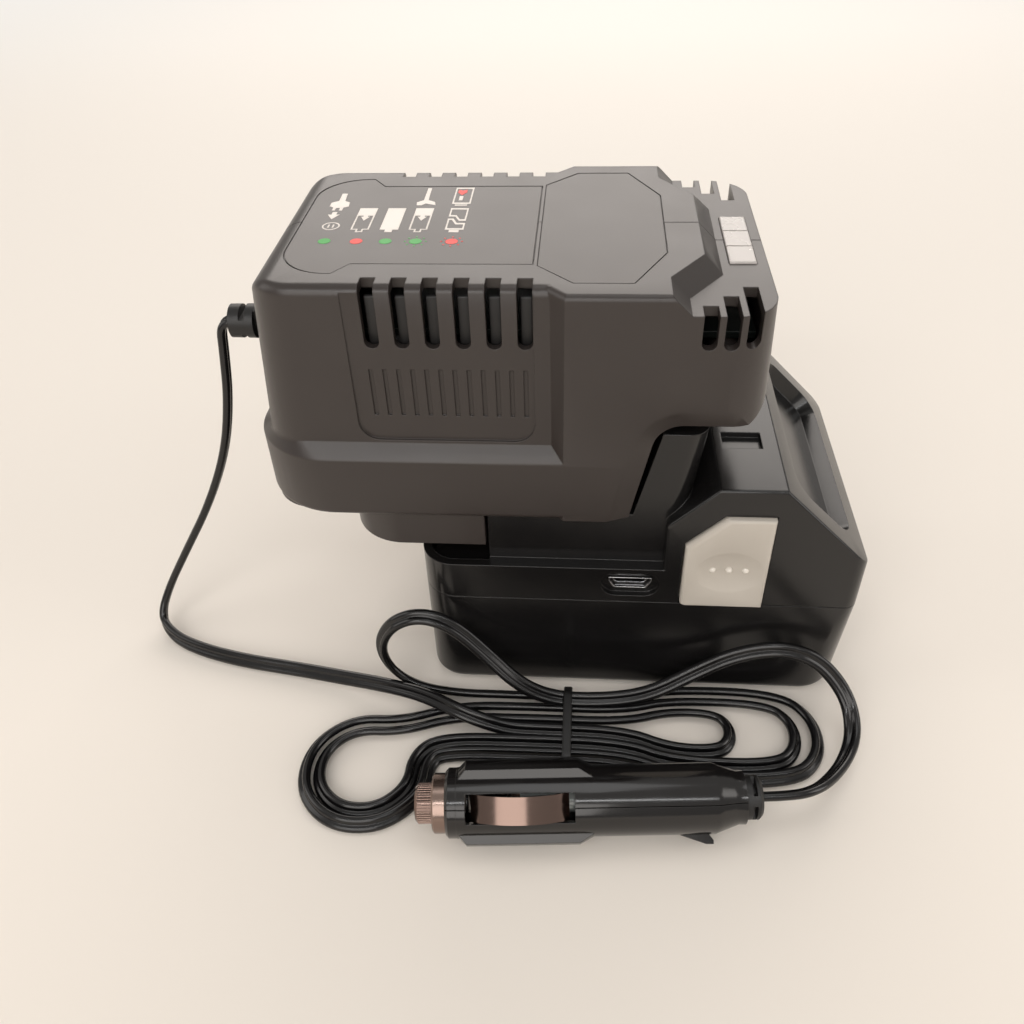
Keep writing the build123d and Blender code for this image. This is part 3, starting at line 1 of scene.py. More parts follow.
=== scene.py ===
"""Looks of a vehicle battery charger docked on a battery pack, with its tied twin cord and its lighter plug.

Lengths in the classes are millimetres in the part's own frame, and MM turns them into metres.
A name that ends in _m holds metres.
"""

from __future__ import annotations

import json
import logging
import math
from dataclasses import dataclass, field
from enum import Enum
from typing import Any, Sequence

import bpy
from mathutils import Matrix, Vector

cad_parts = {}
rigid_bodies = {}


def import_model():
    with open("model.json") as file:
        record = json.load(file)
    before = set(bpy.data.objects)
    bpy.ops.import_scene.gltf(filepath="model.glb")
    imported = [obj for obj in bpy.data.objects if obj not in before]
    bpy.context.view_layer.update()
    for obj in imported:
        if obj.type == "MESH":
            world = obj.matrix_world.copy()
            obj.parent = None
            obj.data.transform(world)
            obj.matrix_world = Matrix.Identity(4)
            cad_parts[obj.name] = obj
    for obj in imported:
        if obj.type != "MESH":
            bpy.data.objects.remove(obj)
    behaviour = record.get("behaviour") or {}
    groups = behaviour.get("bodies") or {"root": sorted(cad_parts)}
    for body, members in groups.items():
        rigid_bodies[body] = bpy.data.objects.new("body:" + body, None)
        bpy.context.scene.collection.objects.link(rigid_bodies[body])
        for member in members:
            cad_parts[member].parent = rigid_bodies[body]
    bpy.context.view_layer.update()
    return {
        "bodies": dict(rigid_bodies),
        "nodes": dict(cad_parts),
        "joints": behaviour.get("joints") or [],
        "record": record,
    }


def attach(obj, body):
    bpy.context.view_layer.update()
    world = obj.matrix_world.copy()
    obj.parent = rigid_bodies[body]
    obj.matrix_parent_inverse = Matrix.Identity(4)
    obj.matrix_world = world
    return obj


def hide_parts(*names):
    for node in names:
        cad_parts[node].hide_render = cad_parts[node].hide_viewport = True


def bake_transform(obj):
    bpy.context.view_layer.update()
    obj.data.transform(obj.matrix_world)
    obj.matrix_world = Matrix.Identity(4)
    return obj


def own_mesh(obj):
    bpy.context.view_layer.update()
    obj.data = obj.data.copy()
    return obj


log = logging.getLogger("charger")

MM = 0.001
EIGHTH_TURN_DEG = 45.0
# Corners nearer to each other than this are one corner, in a flat plate and in a copy of a CAD mesh.
WELD_PLATE = 0.001
WELD_COPY = 0.002

Piece = bpy.types.Object
Point = tuple[float, float, float]
Flat = tuple[float, float]
Loop = Sequence[Flat]


def linear(code: str) -> tuple[float, float, float, float]:
    """Turns an sRGB hex colour into linear values.

    Args:
        code: Colour such as "#4a423f".

    Returns:
        Linear red, green, blue and an alpha of 1.
    """
    parts = [int(code[i : i + 2], 16) / 255 for i in (1, 3, 5)]
    values = [c / 12.92 if c <= 0.04045 else ((c + 0.055) / 1.055) ** 2.4 for c in parts]
    return (values[0], values[1], values[2], 1.0)


def add_node(tree: bpy.types.NodeTree, kind: str, inputs: dict[Any, Any], **settings: Any) -> bpy.types.Node:
    """Adds a node with its settings, values and links.

    Args:
        tree: Node tree that takes the node.
        kind: Blender's name of the node type, without the ShaderNode that starts it.
        inputs: Input name or number to a value, or to the output socket that it is linked to.
        settings: Attributes of the node.

    Returns:
        The new node.
    """
    node = tree.nodes.new("ShaderNode" + kind)
    for key, value in settings.items():
        setattr(node, key, value)
    for key, value in inputs.items():
        if isinstance(value, bpy.types.NodeSocket):
            tree.links.new(value, node.inputs[key])
        else:
            node.inputs[key].default_value = value
    return node


def blank_material(name: str) -> tuple[bpy.types.Material, bpy.types.NodeTree]:
    """Makes a material with an empty node tree.

    Args:
        name: Name of the material.

    Returns:
        The material and its tree.
    """
    material = bpy.data.materials.new(name)
    material.use_nodes = True
    material.node_tree.nodes.clear()
    return material, material.node_tree


def per_metre(size_mm: float) -> float:
    """Gives the texture scale whose features are about that many millimetres wide."""
    return 1.0 / (size_mm * MM)


@dataclass(frozen=True)
class Moulded:
    """Injection-moulded plastic: a spark-eroded or polished skin whose gloss wanders a little.

    Attributes:
        name: Material name.
        colour: Main colour.
        worn: Colour of the slightly paler patches.
        roughness: Middle roughness.
        spread: How far the roughness wanders.
        grain_mm: Width of the skin's grain, drawn coarser than the real one so that it shows.
        depth_mm: Height of the grain.
        coat: Weight of a clear gloss over the skin.
        transmission: Share of the light that passes.
        edge_mm: Radius at which the mould has broken the sharp edges, too fine for the mesh.
        cloud_mm: Width of the patches in which colour and gloss wander.
        cloud_range: Values between which most of the patches' noise lies.
        bump: Strength of the grain.
        coat_roughness: Roughness of the clear gloss.
        ior: Index of refraction, which these plastics share.
    """

    name: str
    colour: str
    worn: str
    roughness: float
    spread: float
    grain_mm: float
    depth_mm: float
    coat: float = 0.0
    transmission: float = 0.0
    edge_mm: float = 0.25
    cloud_mm: float = 14.0
    cloud_range: Flat = (0.3, 0.7)
    bump: float = 0.5
    coat_roughness: float = 0.12
    ior: float = 1.5

    def make(self) -> bpy.types.Material:
        """Builds the material.

        Returns:
            The material.
        """
        material, tree = blank_material(self.name)
        place = add_node(tree, "TexCoord", {}).outputs["Object"]
        patches = {"Vector": place, "Scale": per_metre(self.cloud_mm), "Detail": 3.0}
        cloud = add_node(tree, "TexNoise", patches)
        skin = {"Vector": place, "Scale": per_metre(self.grain_mm), "Detail": 2.0}
        grain = add_node(tree, "TexNoise", skin)
        tint = add_node(
            tree,
            "Mix",
            {"Factor": cloud.outputs["Fac"], "A": linear(self.colour), "B": linear(self.worn)},
            data_type="RGBA",
        )
        gloss = add_node(
            tree,
            "MapRange",
            {
                "Value": cloud.outputs["Fac"],
                "From Min": self.cloud_range[0],
                "From Max": self.cloud_range[1],
                "To Min": self.roughness - self.spread,
                "To Max": self.roughness + self.spread,
            },
        )
        edge = add_node(tree, "Bevel", {"Radius": self.edge_mm * MM}, samples=6)
        bump = add_node(
            tree,
            "Bump",
            {
                "Height": grain.outputs["Fac"],
                "Strength": self.bump,
                "Distance": self.depth_mm * MM,
                "Normal": edge.outputs["Normal"],
            },
        )
        shader = add_node(
            tree,
            "BsdfPrincipled",
            {
                "Base Color": tint.outputs["Result"],
                "Roughness": gloss.outputs["Result"],
                "Normal": bump.outputs["Normal"],
                "IOR": self.ior,
                "Coat Weight": self.coat,
                "Coat Roughness": self.coat_roughness,
                "Transmission Weight": self.transmission,
            },
        )
        add_node(tree, "OutputMaterial", {"Surface": shader.outputs["BSDF"]})
        return material


@dataclass(frozen=True)
class Plated:
    """Plated or plain metal: fine drawn lines that break up its shine.

    Attributes:
        name: Material name.
        colour: Colour of the metal.
        roughness: Middle roughness.
        line_mm: Spacing of the drawn lines, coarser than the real one so that they show.
        stretch: How much slower the lines change along X than across.
        gloss_range: Least and greatest roughness, as shares of the middle one.
        bump: Strength of the lines.
        depth_mm: Depth of the lines.
    """

    name: str
    colour: str
    roughness: float
    line_mm: float = 0.25
    stretch: float = 0.06
    gloss_range: Flat = (0.7, 1.5)
    bump: float = 0.2
    depth_mm: float = 0.01

    def make(self) -> bpy.types.Material:
        """Builds the material.

        Returns:
            The material.
        """
        material, tree = blank_material(self.name)
        place = add_node(tree, "TexCoord", {}).outputs["Object"]
        drawn = add_node(tree, "Mapping", {"Vector": place, "Scale": (self.stretch, 1.0, 1.0)})
        lines = add_node(
            tree,
            "TexNoise",
            {"Vector": drawn.outputs["Vector"], "Scale": per_metre(self.line_mm), "Detail": 2.0},
        )
        gloss = add_node(
            tree,
            "MapRange",
            {
                "Value": lines.outputs["Fac"],
                "To Min": self.roughness * self.gloss_range[0],
                "To Max": self.roughness * self.gloss_range[1],
            },
        )
        bump = add_node(
            tree,
            "Bump",
            {"Height": lines.outputs["Fac"], "Strength": self.bump, "Distance": self.depth_mm * MM},
        )
        shader = add_node(
            tree,
            "BsdfPrincipled",
            {
                "Base Color": linear(self.colour),
                "Metallic": 1.0,
                "Roughness": gloss.outputs["Result"],
                "Normal": bump.outputs["Normal"],
            },
        )
        add_node(tree, "OutputMaterial", {"Surface": shader.outputs["BSDF"]})
        return material


Finish = Moulded | Plated


class Ink(Enum):
    """Inks of the printed marks."""

    WHITE = "#efe7df"
    GREEN = "#46a850"
    RED = "#ee4f48"


class Side(Enum):
    """Sides of the object, with the sign of Y there."""

    NEAR = -1
    FAR = 1

    @property
    def word(self) -> str:
        """Gives the side's word in the names of nodes and pieces."""
        return self.name.lower()


# The numbers of a moulded finish are its roughness and how far that wanders, its grain's width and height.

# Charger: spark-eroded ABS, satin, so broad soft sheens lie on the top and the edges glint.
CHARGER_ABS = Moulded(
    "charger_abs_spark_textured", "#2f2927", "#342e2b", 0.34, 0.02, 0.35, 0.02, edge_mm=0.4
)
# Labels: polyester film, a shade paler and more even than the housing round it.
FILM = Moulded("label_polyester_film", "#332d2a", "#37312e", 0.36, 0.012, 0.25, 0.01)
# Pack and plug: polished mould faces, near black, that mirror the room softly.
PACK_ABS = Moulded("pack_abs_polished", "#131212", "#171616", 0.2, 0.03, 0.8, 0.008, edge_mm=0.4)
PLUG_PHENOLIC = Moulded("plug_phenolic_polished", "#0f0d0d", "#151313", 0.16, 0.04, 0.7, 0.008, coat=0.2)
# Latches: satin grey ABS with a faint mottle, and raised dots smoother and paler, partly their own paler
# plastic and partly a painted highlight on them.
LATCH_ABS = Moulded("latch_abs_satin", "#bbb4aa", "#c1bab0", 0.45, 0.05, 0.5, 0.012, edge_mm=0.4)
LATCH_DOT_PALE_AND_HIGHLIGHT = Moulded("latch_dot_polished", "#ddd7cd", "#e2dcd3", 0.3, 0.04, 0.5, 0.004)
# Window: milky polycarbonate that glows where light enters it.
LENS = Moulded(
    "window_polycarbonate_frosted", "#c9c2bd", "#d8d2cd", 0.28, 0.06, 1.2, 0.03, transmission=0.25
)
# Cord: soft vinyl with long bright lines along its rounds.
CORD_VINYL = Moulded("cord_soft_vinyl", "#0b0a0b", "#111011", 0.18, 0.05, 0.9, 0.015)
# Gland, grommet and tie: dull rubber.
RUBBER = Moulded("gland_rubber", "#0e0d0d", "#141313", 0.45, 0.06, 0.5, 0.02)
# Inner mouldings: plain black nylon.
INNER = Moulded("inner_nylon", "#141313", "#1a1919", 0.5, 0.06, 0.4, 0.02)
# Boards: epoxy glass coloured near black, a painted shade that keeps the insides seen through the slots
# dark.
BOARD_PAINTED_SHADE = Moulded("board_epoxy_glass", "#0d1210", "#121815", 0.4, 0.06, 0.4, 0.02)
# Transformer and choke: dull grey sintered ferrite.
FERRITE = Moulded("core_ferrite", "#201f21", "#2b2a2c", 0.6, 0.08, 0.3, 0.05)
# Cells: shiny shrink wrap.
CELL_WRAP = Moulded("cell_shrink_wrap", "#3f5f8c", "#486a98", 0.3, 0.05, 0.6, 0.01)
# Fuse: clear glass tube.
GLASS = Moulded("fuse_glass_tube", "#dfe6e4", "#e6ecea", 0.1, 0.03, 1.5, 0.005, transmission=0.7)
# Plug metal: nickel over brass, whose warmth shows through; tip and contacts get a darker, smoother copy of
# it.
NICKEL = Plated("plug_nickel_plate", "#8e7b72", 0.2)
DARKER_NICKEL = Plated("plug_nickel_plate_worn", "#7d6a62", 0.16)
# Screws: zinc plate, a dull cold grey.
STEEL = Plated("screw_zinc_plate", "#8d8d90", 0.32)
# Springs, cell straps and socket: nickel-plated steel, bright and cold.
SPRING = Plated("spring_nickel_steel", "#a8a8aa", 0.22)
# Heat sink and capacitor cans: black anodised and plain aluminium.
SINK = Plated("sink_black_anodised", "#222225", 0.45)
ALUMINIUM = Plated("can_aluminium", "#b9b9bd", 0.35)
# Blades and terminals: bare brass with a yellow shine.
BRASS = Plated("contact_brass", "#c2a05a", 0.3)


class Finishes:
    """Materials made once and shared by the pieces."""

    def __init__(self) -> None:
        """Starts with no material made."""
        self.made: dict[str, bpy.types.Material] = {}

    def of(self, finish: Finish) -> bpy.types.Material:
        """Gives the material of a finish.

        Args:
            finish: The finish.

        Returns:
            Its material.
        """
        if finish.name not in self.made:
            self.made[finish.name] = finish.make()
        return self.made[finish.name]

    def ink(self, ink: Ink) -> bpy.types.Material:
        """Gives the material of a printed ink: an even, satin coat of colour.

        Args:
            ink: The ink.

        Returns:
            Its material.
        """
        name = "ink_" + ink.name.lower()
        coat = Moulded(name, ink.value, ink.value, roughness=0.5, spread=0.04, grain_mm=0.3, depth_mm=0.004)
        return self.of(coat)


def select_only(obj: Piece) -> None:
    """Deselects everything and makes one object active and selected.

    Args:
        obj: The object.
    """
    bpy.ops.object.select_all(action="DESELECT")
    obj.select_set(True)
    bpy.context.view_layer.objects.active = obj


def apply_place(obj: Piece) -> None:
    """Moves an object's place, turn and scale into its mesh."""
    select_only(obj)
    bpy.ops.object.transform_apply(location=True, rotation=True, scale=True)


def box_piece(name: str, low: Point, high: Point) -> Piece:
    """Adds a box between two corners, with its place in its mesh.

    Args:
        name: Name of the box.
        low: Corner with the least coordinates.
        high: Corner with the greatest coordinates.

    Returns:
        The box.
    """
    bpy.ops.object.select_all(action="DESELECT")
    middle = (Vector(low) + Vector(high)) * (MM / 2)
    bpy.ops.mesh.primitive_cube_add(size=1.0, location=middle)
    box = bpy.context.active_object
    box.scale = (Vector(high) - Vector(low)) * MM
    box.name = name
    apply_place(box)
    return box


def join(pieces: Sequence[Piece]) -> Piece:
    """Joins objects into the first one.

    Args:
        pieces: The objects.

    Returns:
        The joined object.
    """
    select_only(pieces[0])
    for piece in pieces[1:]:
        piece.select_set(True)
    bpy.ops.object.join()
    return pieces[0]


def cut(piece: Piece, tool: Piece) -> None:
    """Cuts a tool out of a piece and removes the tool.

    Args:
        piece: The piece.
        tool: The closed shape that is cut out.
    """
    select_only(piece)
    groove = piece.modifiers.new("groove", "BOOLEAN")
    groove.operation = "DIFFERENCE"
    groove.object = tool
    bpy.ops.object.modifier_apply(modifier="groove")
    bpy.data.objects.remove(tool)


def flat_piece(name: str, loops: Sequence[Loop], half: float) -> Piece:
    """Makes a flat plate from closed loops; one loop inside another leaves a hole.

    Args:
        name: Name of the plate.
        loops: Corners of each loop.
        half: Half of the plate's thickness.

    Returns:
        The plate as a mesh, lying at the origin.
    """
    data = bpy.data.curves.new(name, "CURVE")
    data.dimensions = "2D"
    data.fill_mode = "BOTH"
    data.extrude = half * MM
    for loop in loops:
        spline = data.splines.new("POLY")
        spline.points.add(len(loop) - 1)
        for point, (x, y) in zip(spline.points, loop):
            point.co = (x * MM, y * MM, 0.0, 1.0)
        spline.use_cyclic_u = True
    plate = bpy.data.objects.new(name, data)
    bpy.context.scene.collection.objects.link(plate)
    select_only(plate)
    bpy.ops.object.convert(target="MESH")
    plate = bpy.context.active_object
    bpy.ops.object.mode_set(mode="EDIT")
    bpy.ops.mesh.select_all(action="SELECT")
    bpy.ops.mesh.remove_doubles(threshold=WELD_PLATE * MM)
    bpy.ops.mesh.normals_make_consistent(inside=False)
    bpy.ops.object.mode_set(mode="OBJECT")
    return plate


def soften(piece: Piece, width: float, angle_deg: float = 40.0, steps: int = 3) -> None:
    """Rounds the sharp edges of a piece.

    Args:
        piece: The piece.
        width: Width of the rounding.
        angle_deg: Edges steeper than this are rounded.
        steps: Faces across the rounding.
    """
    select_only(piece)
    bevel = piece.modifiers.new("softened", "BEVEL")
    bevel.width = width * MM
    bevel.segments = steps
    bevel.limit_method = "ANGLE"
    bevel.angle_limit = math.radians(angle_deg)
    bpy.ops.object.modifier_apply(modifier="softened")
    bpy.ops.object.shade_smooth_by_angle(angle=math.radians(angle_deg))


@dataclass
class Shop:
    """What every sub-assembly works with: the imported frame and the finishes."""

    frame: dict[str, Any]
    finishes: Finishes

    def paint(self, obj: Piece, finish: Finish) -> None:
        """Gives an object one finish all over."""
        obj.data.materials.clear()
        obj.data.materials.append(self.finishes.of(finish))

    def paint_node(self, node: str, finish: Finish) -> None:
        """Gives a carried-over CAD node a finish.

        Args:
            node: Name of the node.
            finish: Its finish.
        """
        obj = self.frame["nodes"][node]
        for place in obj.material_slots:
            place.material = self.finishes.of(finish)
        log.info("node %s keeps its solid, with %s", node, finish.name)

    def refined(self, node: str, name: str, angle_deg: float = 32.0) -> Piece:
        """Copies a CAD node into a smooth-shaded piece.

        Args:
            node: Name of the node.
            name: Name of the piece.
            angle_deg: Edges steeper than this stay sharp.

        Returns:
            The piece, not yet riding on a body.
        """
        source = self.frame["nodes"][node]
        piece = source.copy()
        piece.data = source.data.copy()
        piece.name = name
        piece.parent = None
        piece.matrix_world = Matrix.Identity(4)
        bpy.context.scene.collection.objects.link(piece)
        select_only(piece)
        bpy.ops.object.mode_set(mode="EDIT")
        bpy.ops.mesh.select_all(action="SELECT")
        bpy.ops.mesh.remove_doubles(threshold=WELD_COPY * MM)
        bpy.ops.mesh.customdata_custom_splitnormals_clear()
        bpy.ops.object.mode_set(mode="OBJECT")
        bpy.ops.object.shade_smooth_by_angle(angle=math.radians(angle_deg))
        return piece

    def settle(self, piece: Piece, body: str, slot: str, nodes: Sequence[str] = ()) -> Piece:
        """Puts a finished piece on its body.

        Args:
            piece: The piece.
            body: CAD body that it moves with.
            slot: Material slot of the record; not used.
            nodes: CAD nodes that it stands for.

        Returns:
            The piece.
        """
        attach(piece, body)
        if nodes:
            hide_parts(*nodes)
        log.info("piece %s rides on %s, %d faces", piece.name, body, len(piece.data.polygons))
        return piece

    def dress(self, node: str, name: str, finish: Finish, body: str, slot: str) -> Piece:
        """Makes a smooth-shaded piece in one finish that stands for a CAD node.

        Args:
            node: Name of the node.
            name: Name of the piece.
            finish: Its finish.
            body: CAD body that it moves with.
            slot: Material slot of the record, handed to settle, which doesn't use it.

        Returns:
            The piece.
        """
        piece = self.refined(node, name)
        self.paint(piece, finish)
        return self.settle(piece, body, slot, [node])

    def spring(self, node: str, joint: str, way: Point, travel: float) -> None:
        """Makes a smooth-shaded copy of a coil spring's CAD node in spring steel, with a mesh of its own.

        Args:
            node: Name of the spring's CAD node.
            joint: Joint of the pressed piece; not used.
            way: Direction in which the piece presses; not used.
            travel: How far the piece goes; not used.
        """
        piece = self.dress(node, node + "_coil", SPRING, "pack", "spring_steel")
        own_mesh(piece)


def rectangle(x0: float, y0: float, x1: float, y1: float) -> list[Flat]:
    """Gives the loop of a rectangle between two corners."""
    return [(x0, y0), (x1, y0), (x1, y1), (x0, y1)]


def round_loop(x: float, y: float, radius: float, corners: int = 32) -> list[Flat]:
    """Gives the loop of a circle."""
    turns = [2 * math.pi * k / corners for k in range(corners)]
    return [(x + radius * math.cos(t), y + radius * math.sin(t)) for t in turns]


@dataclass
class StatusMarks:
    """Printed status marks: a row of lamp dots and a plain symbol above each.

    Each dot has its place, its ink and whether rays show that the lamp blinks. Each cell has its place and
    whether it is full. The case and what stands on it are placed from the split battery's middle.
    """

    shop: Shop
    height: float = 123.965
    ink_half: float = 0.02
    dot_y: float = -10.8
    dot_radius: float = 1.5
    dots: tuple[tuple[float, Ink, bool], ...] = (
        (-77.1, Ink.GREEN, False),
        (-69.5, Ink.RED, False),
        (-62.6, Ink.GREEN, False),
        (-55.5, Ink.GREEN, True),
        (-47.0, Ink.RED, True),
    )
    ray_count: int = 8
    ray_corners: int = 10
    ray_radius: float = 0.26
    ray_reach: float = 2.45
    line: float = 0.42
    cells: tuple[tuple[float, bool], ...] = ((-70.0, False), (-62.9, True), (-55.9, False))
    cell_width: float = 4.5
    cell_low: float = -4.3
    cell_high: float = 8.5
    cell_charge: float = 3.9
    cell_nub: float = 1.4
    charge_neck: float = 0.6
    charge_reach: float = 3.0
    split_x: float = -47.2
    split_nub: float = 1.2
    break_upper: Flat = (3.4, 0.9)
    break_lower: Flat = (2.2, -0.4)
    upper_slopes: tuple[Flat, Flat] = ((-0.6, 0.5), (-0.4, 0.7))
    lower_slopes: tuple[Flat, Flat] = ((-0.9, 0.2), (-1.2, -0.1))
    case: tuple[float, float, float, float] = (-2.4, 11.2, 2.3, 21.8)
    case_foot: tuple[float, float, float, float] = (-1.6, 10.1, 1.5, 10.8)
    case_lamp: tuple[float, float, float, float] = (-1.0, 13.4, 0.0, 16.2)
    socket: Flat = (-77.4, -2.3)
    socket_radius: float = 2.2
    pin_half: Flat = (0.22, 0.9)
    pin_apart: float = 0.55
    plug: tuple[Flat, ...] = (
        (-78.8, 17.9),
        (-77.4, 17.9),
        (-77.1, 13.1),
        (-75.7, 12.2),
        (-75.5, 9.6),
        (-76.7, 8.9),
        (-76.7, 7.1),
        (-77.5, 7.1),
        (-77.5, 8.7),
        (-78.5, 8.7),
        (-78.5, 7.1),
        (-79.3, 7.1),
        (-79.3, 8.9),
        (-80.4, 9.8),
        (-80.4, 12.0),
        (-78.7, 13.1),
    )
    arrow: tuple[Flat, ...] = (
        (-78.8, 6.1),
        (-77.6, 6.1),
        (-77.6, 4.6),
        (-76.7, 4.6),
        (-78.2, 1.7),
        (-79.7, 4.6),
        (-78.8, 4.6),
    )
    tool: tuple[Flat, ...] = (
        (-57.0, 21.5),
        (-56.0, 21.5),
        (-55.8, 13.6),
        (-54.0, 12.4),
        (-53.6, 10.4),
        (-54.9, 10.9),
        (-56.2, 11.5),
        (-57.2, 10.3),
        (-58.4, 10.3),
        (-58.6, 12.2),
        (-57.0, 13.6),
    )
    hot: tuple[Flat, ...] = (
        (-48.8, 20.4),
        (-47.7, 19.9),
        (-46.6, 20.4),
        (-46.5, 18.6),
        (-47.7, 16.8),
        (-48.9, 18.6),
    )

    def cell(self, x: float, top: float, inset: float = 0.0) -> list[Flat]:
        """Gives the outline of a battery with its nub below.

        Args:
            x: Middle of the battery.
            top: Where the outline ends above.
            inset: How far it lies inside the battery's own outline.

        Returns:
            The loop.
        """
        half = self.cell_width / 2 - inset
        nub = self.cell_width / 5 - inset
        low = self.cell_low + inset
        return [
            (x - half, top),
            (x - half, low),
            (x - nub, low),
            (x - nub, low - self.cell_nub),
            (x + nub, low - self.cell_nub),
            (x + nub, low),
            (x + half, low),
            (x + half, top),
        ]

    def charging(self, x: float) -> list[Flat]:
        """Gives the empty part of a battery that is being charged, below a pointed arrow.

        Args:
            x: Middle of the battery.

        Returns:
            The loop, which leaves a hole in the battery's outline.
        """
        head = self.cell_width / 4
        top = self.cell_charge
        neck = top - self.charge_neck
        return self.cell(x, top, self.line) + [
            (x + head / 2, top),
            (x + head / 2, neck),
            (x + head, neck),
            (x, top - self.charge_reach),
            (x - head, neck),
            (x - head / 2, neck),
            (x - head / 2, top),
        ]

    def split_cell(self) -> list[list[Flat]]:
        """Gives the loops of a battery that is broken across.

        Returns:
            The two halves with their holes, and the nub.
        """
        x, half, nub = self.split_x, self.cell_width / 2, self.split_nub
        uppers = []
        lowers = []
        for inset, upper_slope, lower_slope in zip((0.0, self.line), self.upper_slopes, self.lower_slopes):
            left, right = x - half + inset, x + half - inset
            high, low = self.cell_high - 2 * inset, self.cell_low + 2 * inset
            near, far = (y + 2 * inset for y in self.break_upper)
            start, end = (x + reach for reach in upper_slope)
            upper = [(left, high), (left, near), (start, near), (end, far), (right, far), (right, high)]
            uppers.append(upper)
            near, far = (y - 2 * inset for y in self.break_lower)
            start, end = (x + reach for reach in lower_slope)
            lower = [(left, near), (left, low), (right, low), (right, far), (end, far), (start, near)]
            lowers.append(lower)
        foot = rectangle(x - nub, self.cell_low - self.cell_nub, x + nub, self.cell_low - self.line / 2)
        return uppers + lowers + [foot]

    def white_loops(self) -> list[list[Flat]]:
        """Gives the loops printed in white.

        Returns:
            The loops; one inside another leaves a hole.
        """
        x, y = self.socket
        wide, high = self.pin_half
        loops = [list(self.plug), list(self.arrow), list(self.tool)]
        loops += [round_loop(x, y, self.socket_radius), round_loop(x, y, self.socket_radius - self.line)]
        for side in (-self.pin_apart, self.pin_apart):
            loops.append(rectangle(x + side - wide, y - high, x + side + wide, y + high))
        for middle, full in self.cells:
            loops.append(self.cell(middle, self.cell_high))
            if not full:
                loops.append(self.charging(middle))
        loops += self.split_cell()
        x0, y0, x1, y1 = self.case
        left, right = self.split_x + x0, self.split_x + x1
        loops.append(rectangle(left, y0, right, y1))
        loops.append(rectangle(left + self.line, y0 + 2 * self.line, right - self.line, y1 - 2 * self.line))
        for x0, y0, x1, y1 in (self.case_foot, self.case_lamp):
            loops.append(rectangle(self.split_x + x0, y0, self.split_x + x1, y1))
        return loops

    def lamp_loops(self, ink: Ink) -> list[list[Flat]]:
        """Gives the loops of the lamp dots in one ink.

        Args:
            ink: The ink.

        Returns:
            The dots, and the rays of those that blink.
        """
        loops = []
        for x, colour, blinks in self.dots:
            if colour is not ink:
                continue
            loops.append(round_loop(x, self.dot_y, self.dot_radius))
            if blinks:
                places = round_loop(x, self.dot_y, self.ray_reach, self.ray_count)
                loops += [round_loop(rx, ry, self.ray_radius, self.ray_corners) for rx, ry in places]
        if ink is Ink.RED:
            loops.append(list(self.hot))
        return loops

    def printed(self, ink: Ink, loops: Sequence[Loop]) -> None:
        """Prints loops on the label as a thin film of ink.

        Args:
            ink: The ink.
            loops: The loops.
        """
        piece = flat_piece("status_marks_" + ink.name.lower(), loops, self.ink_half)
        piece.location.z = self.height * MM
        apply_place(piece)
        piece.data.materials.clear()
        piece.data.materials.append(self.shop.finishes.ink(ink))
        self.shop.settle(piece, "charger", "label_film")

    def build(self) -> None:
        """Prints all the marks."""
        self.printed(Ink.WHITE, self.white_loops())
        for ink in (Ink.GREEN, Ink.RED):
            self.printed(ink, self.lamp_loops(ink))


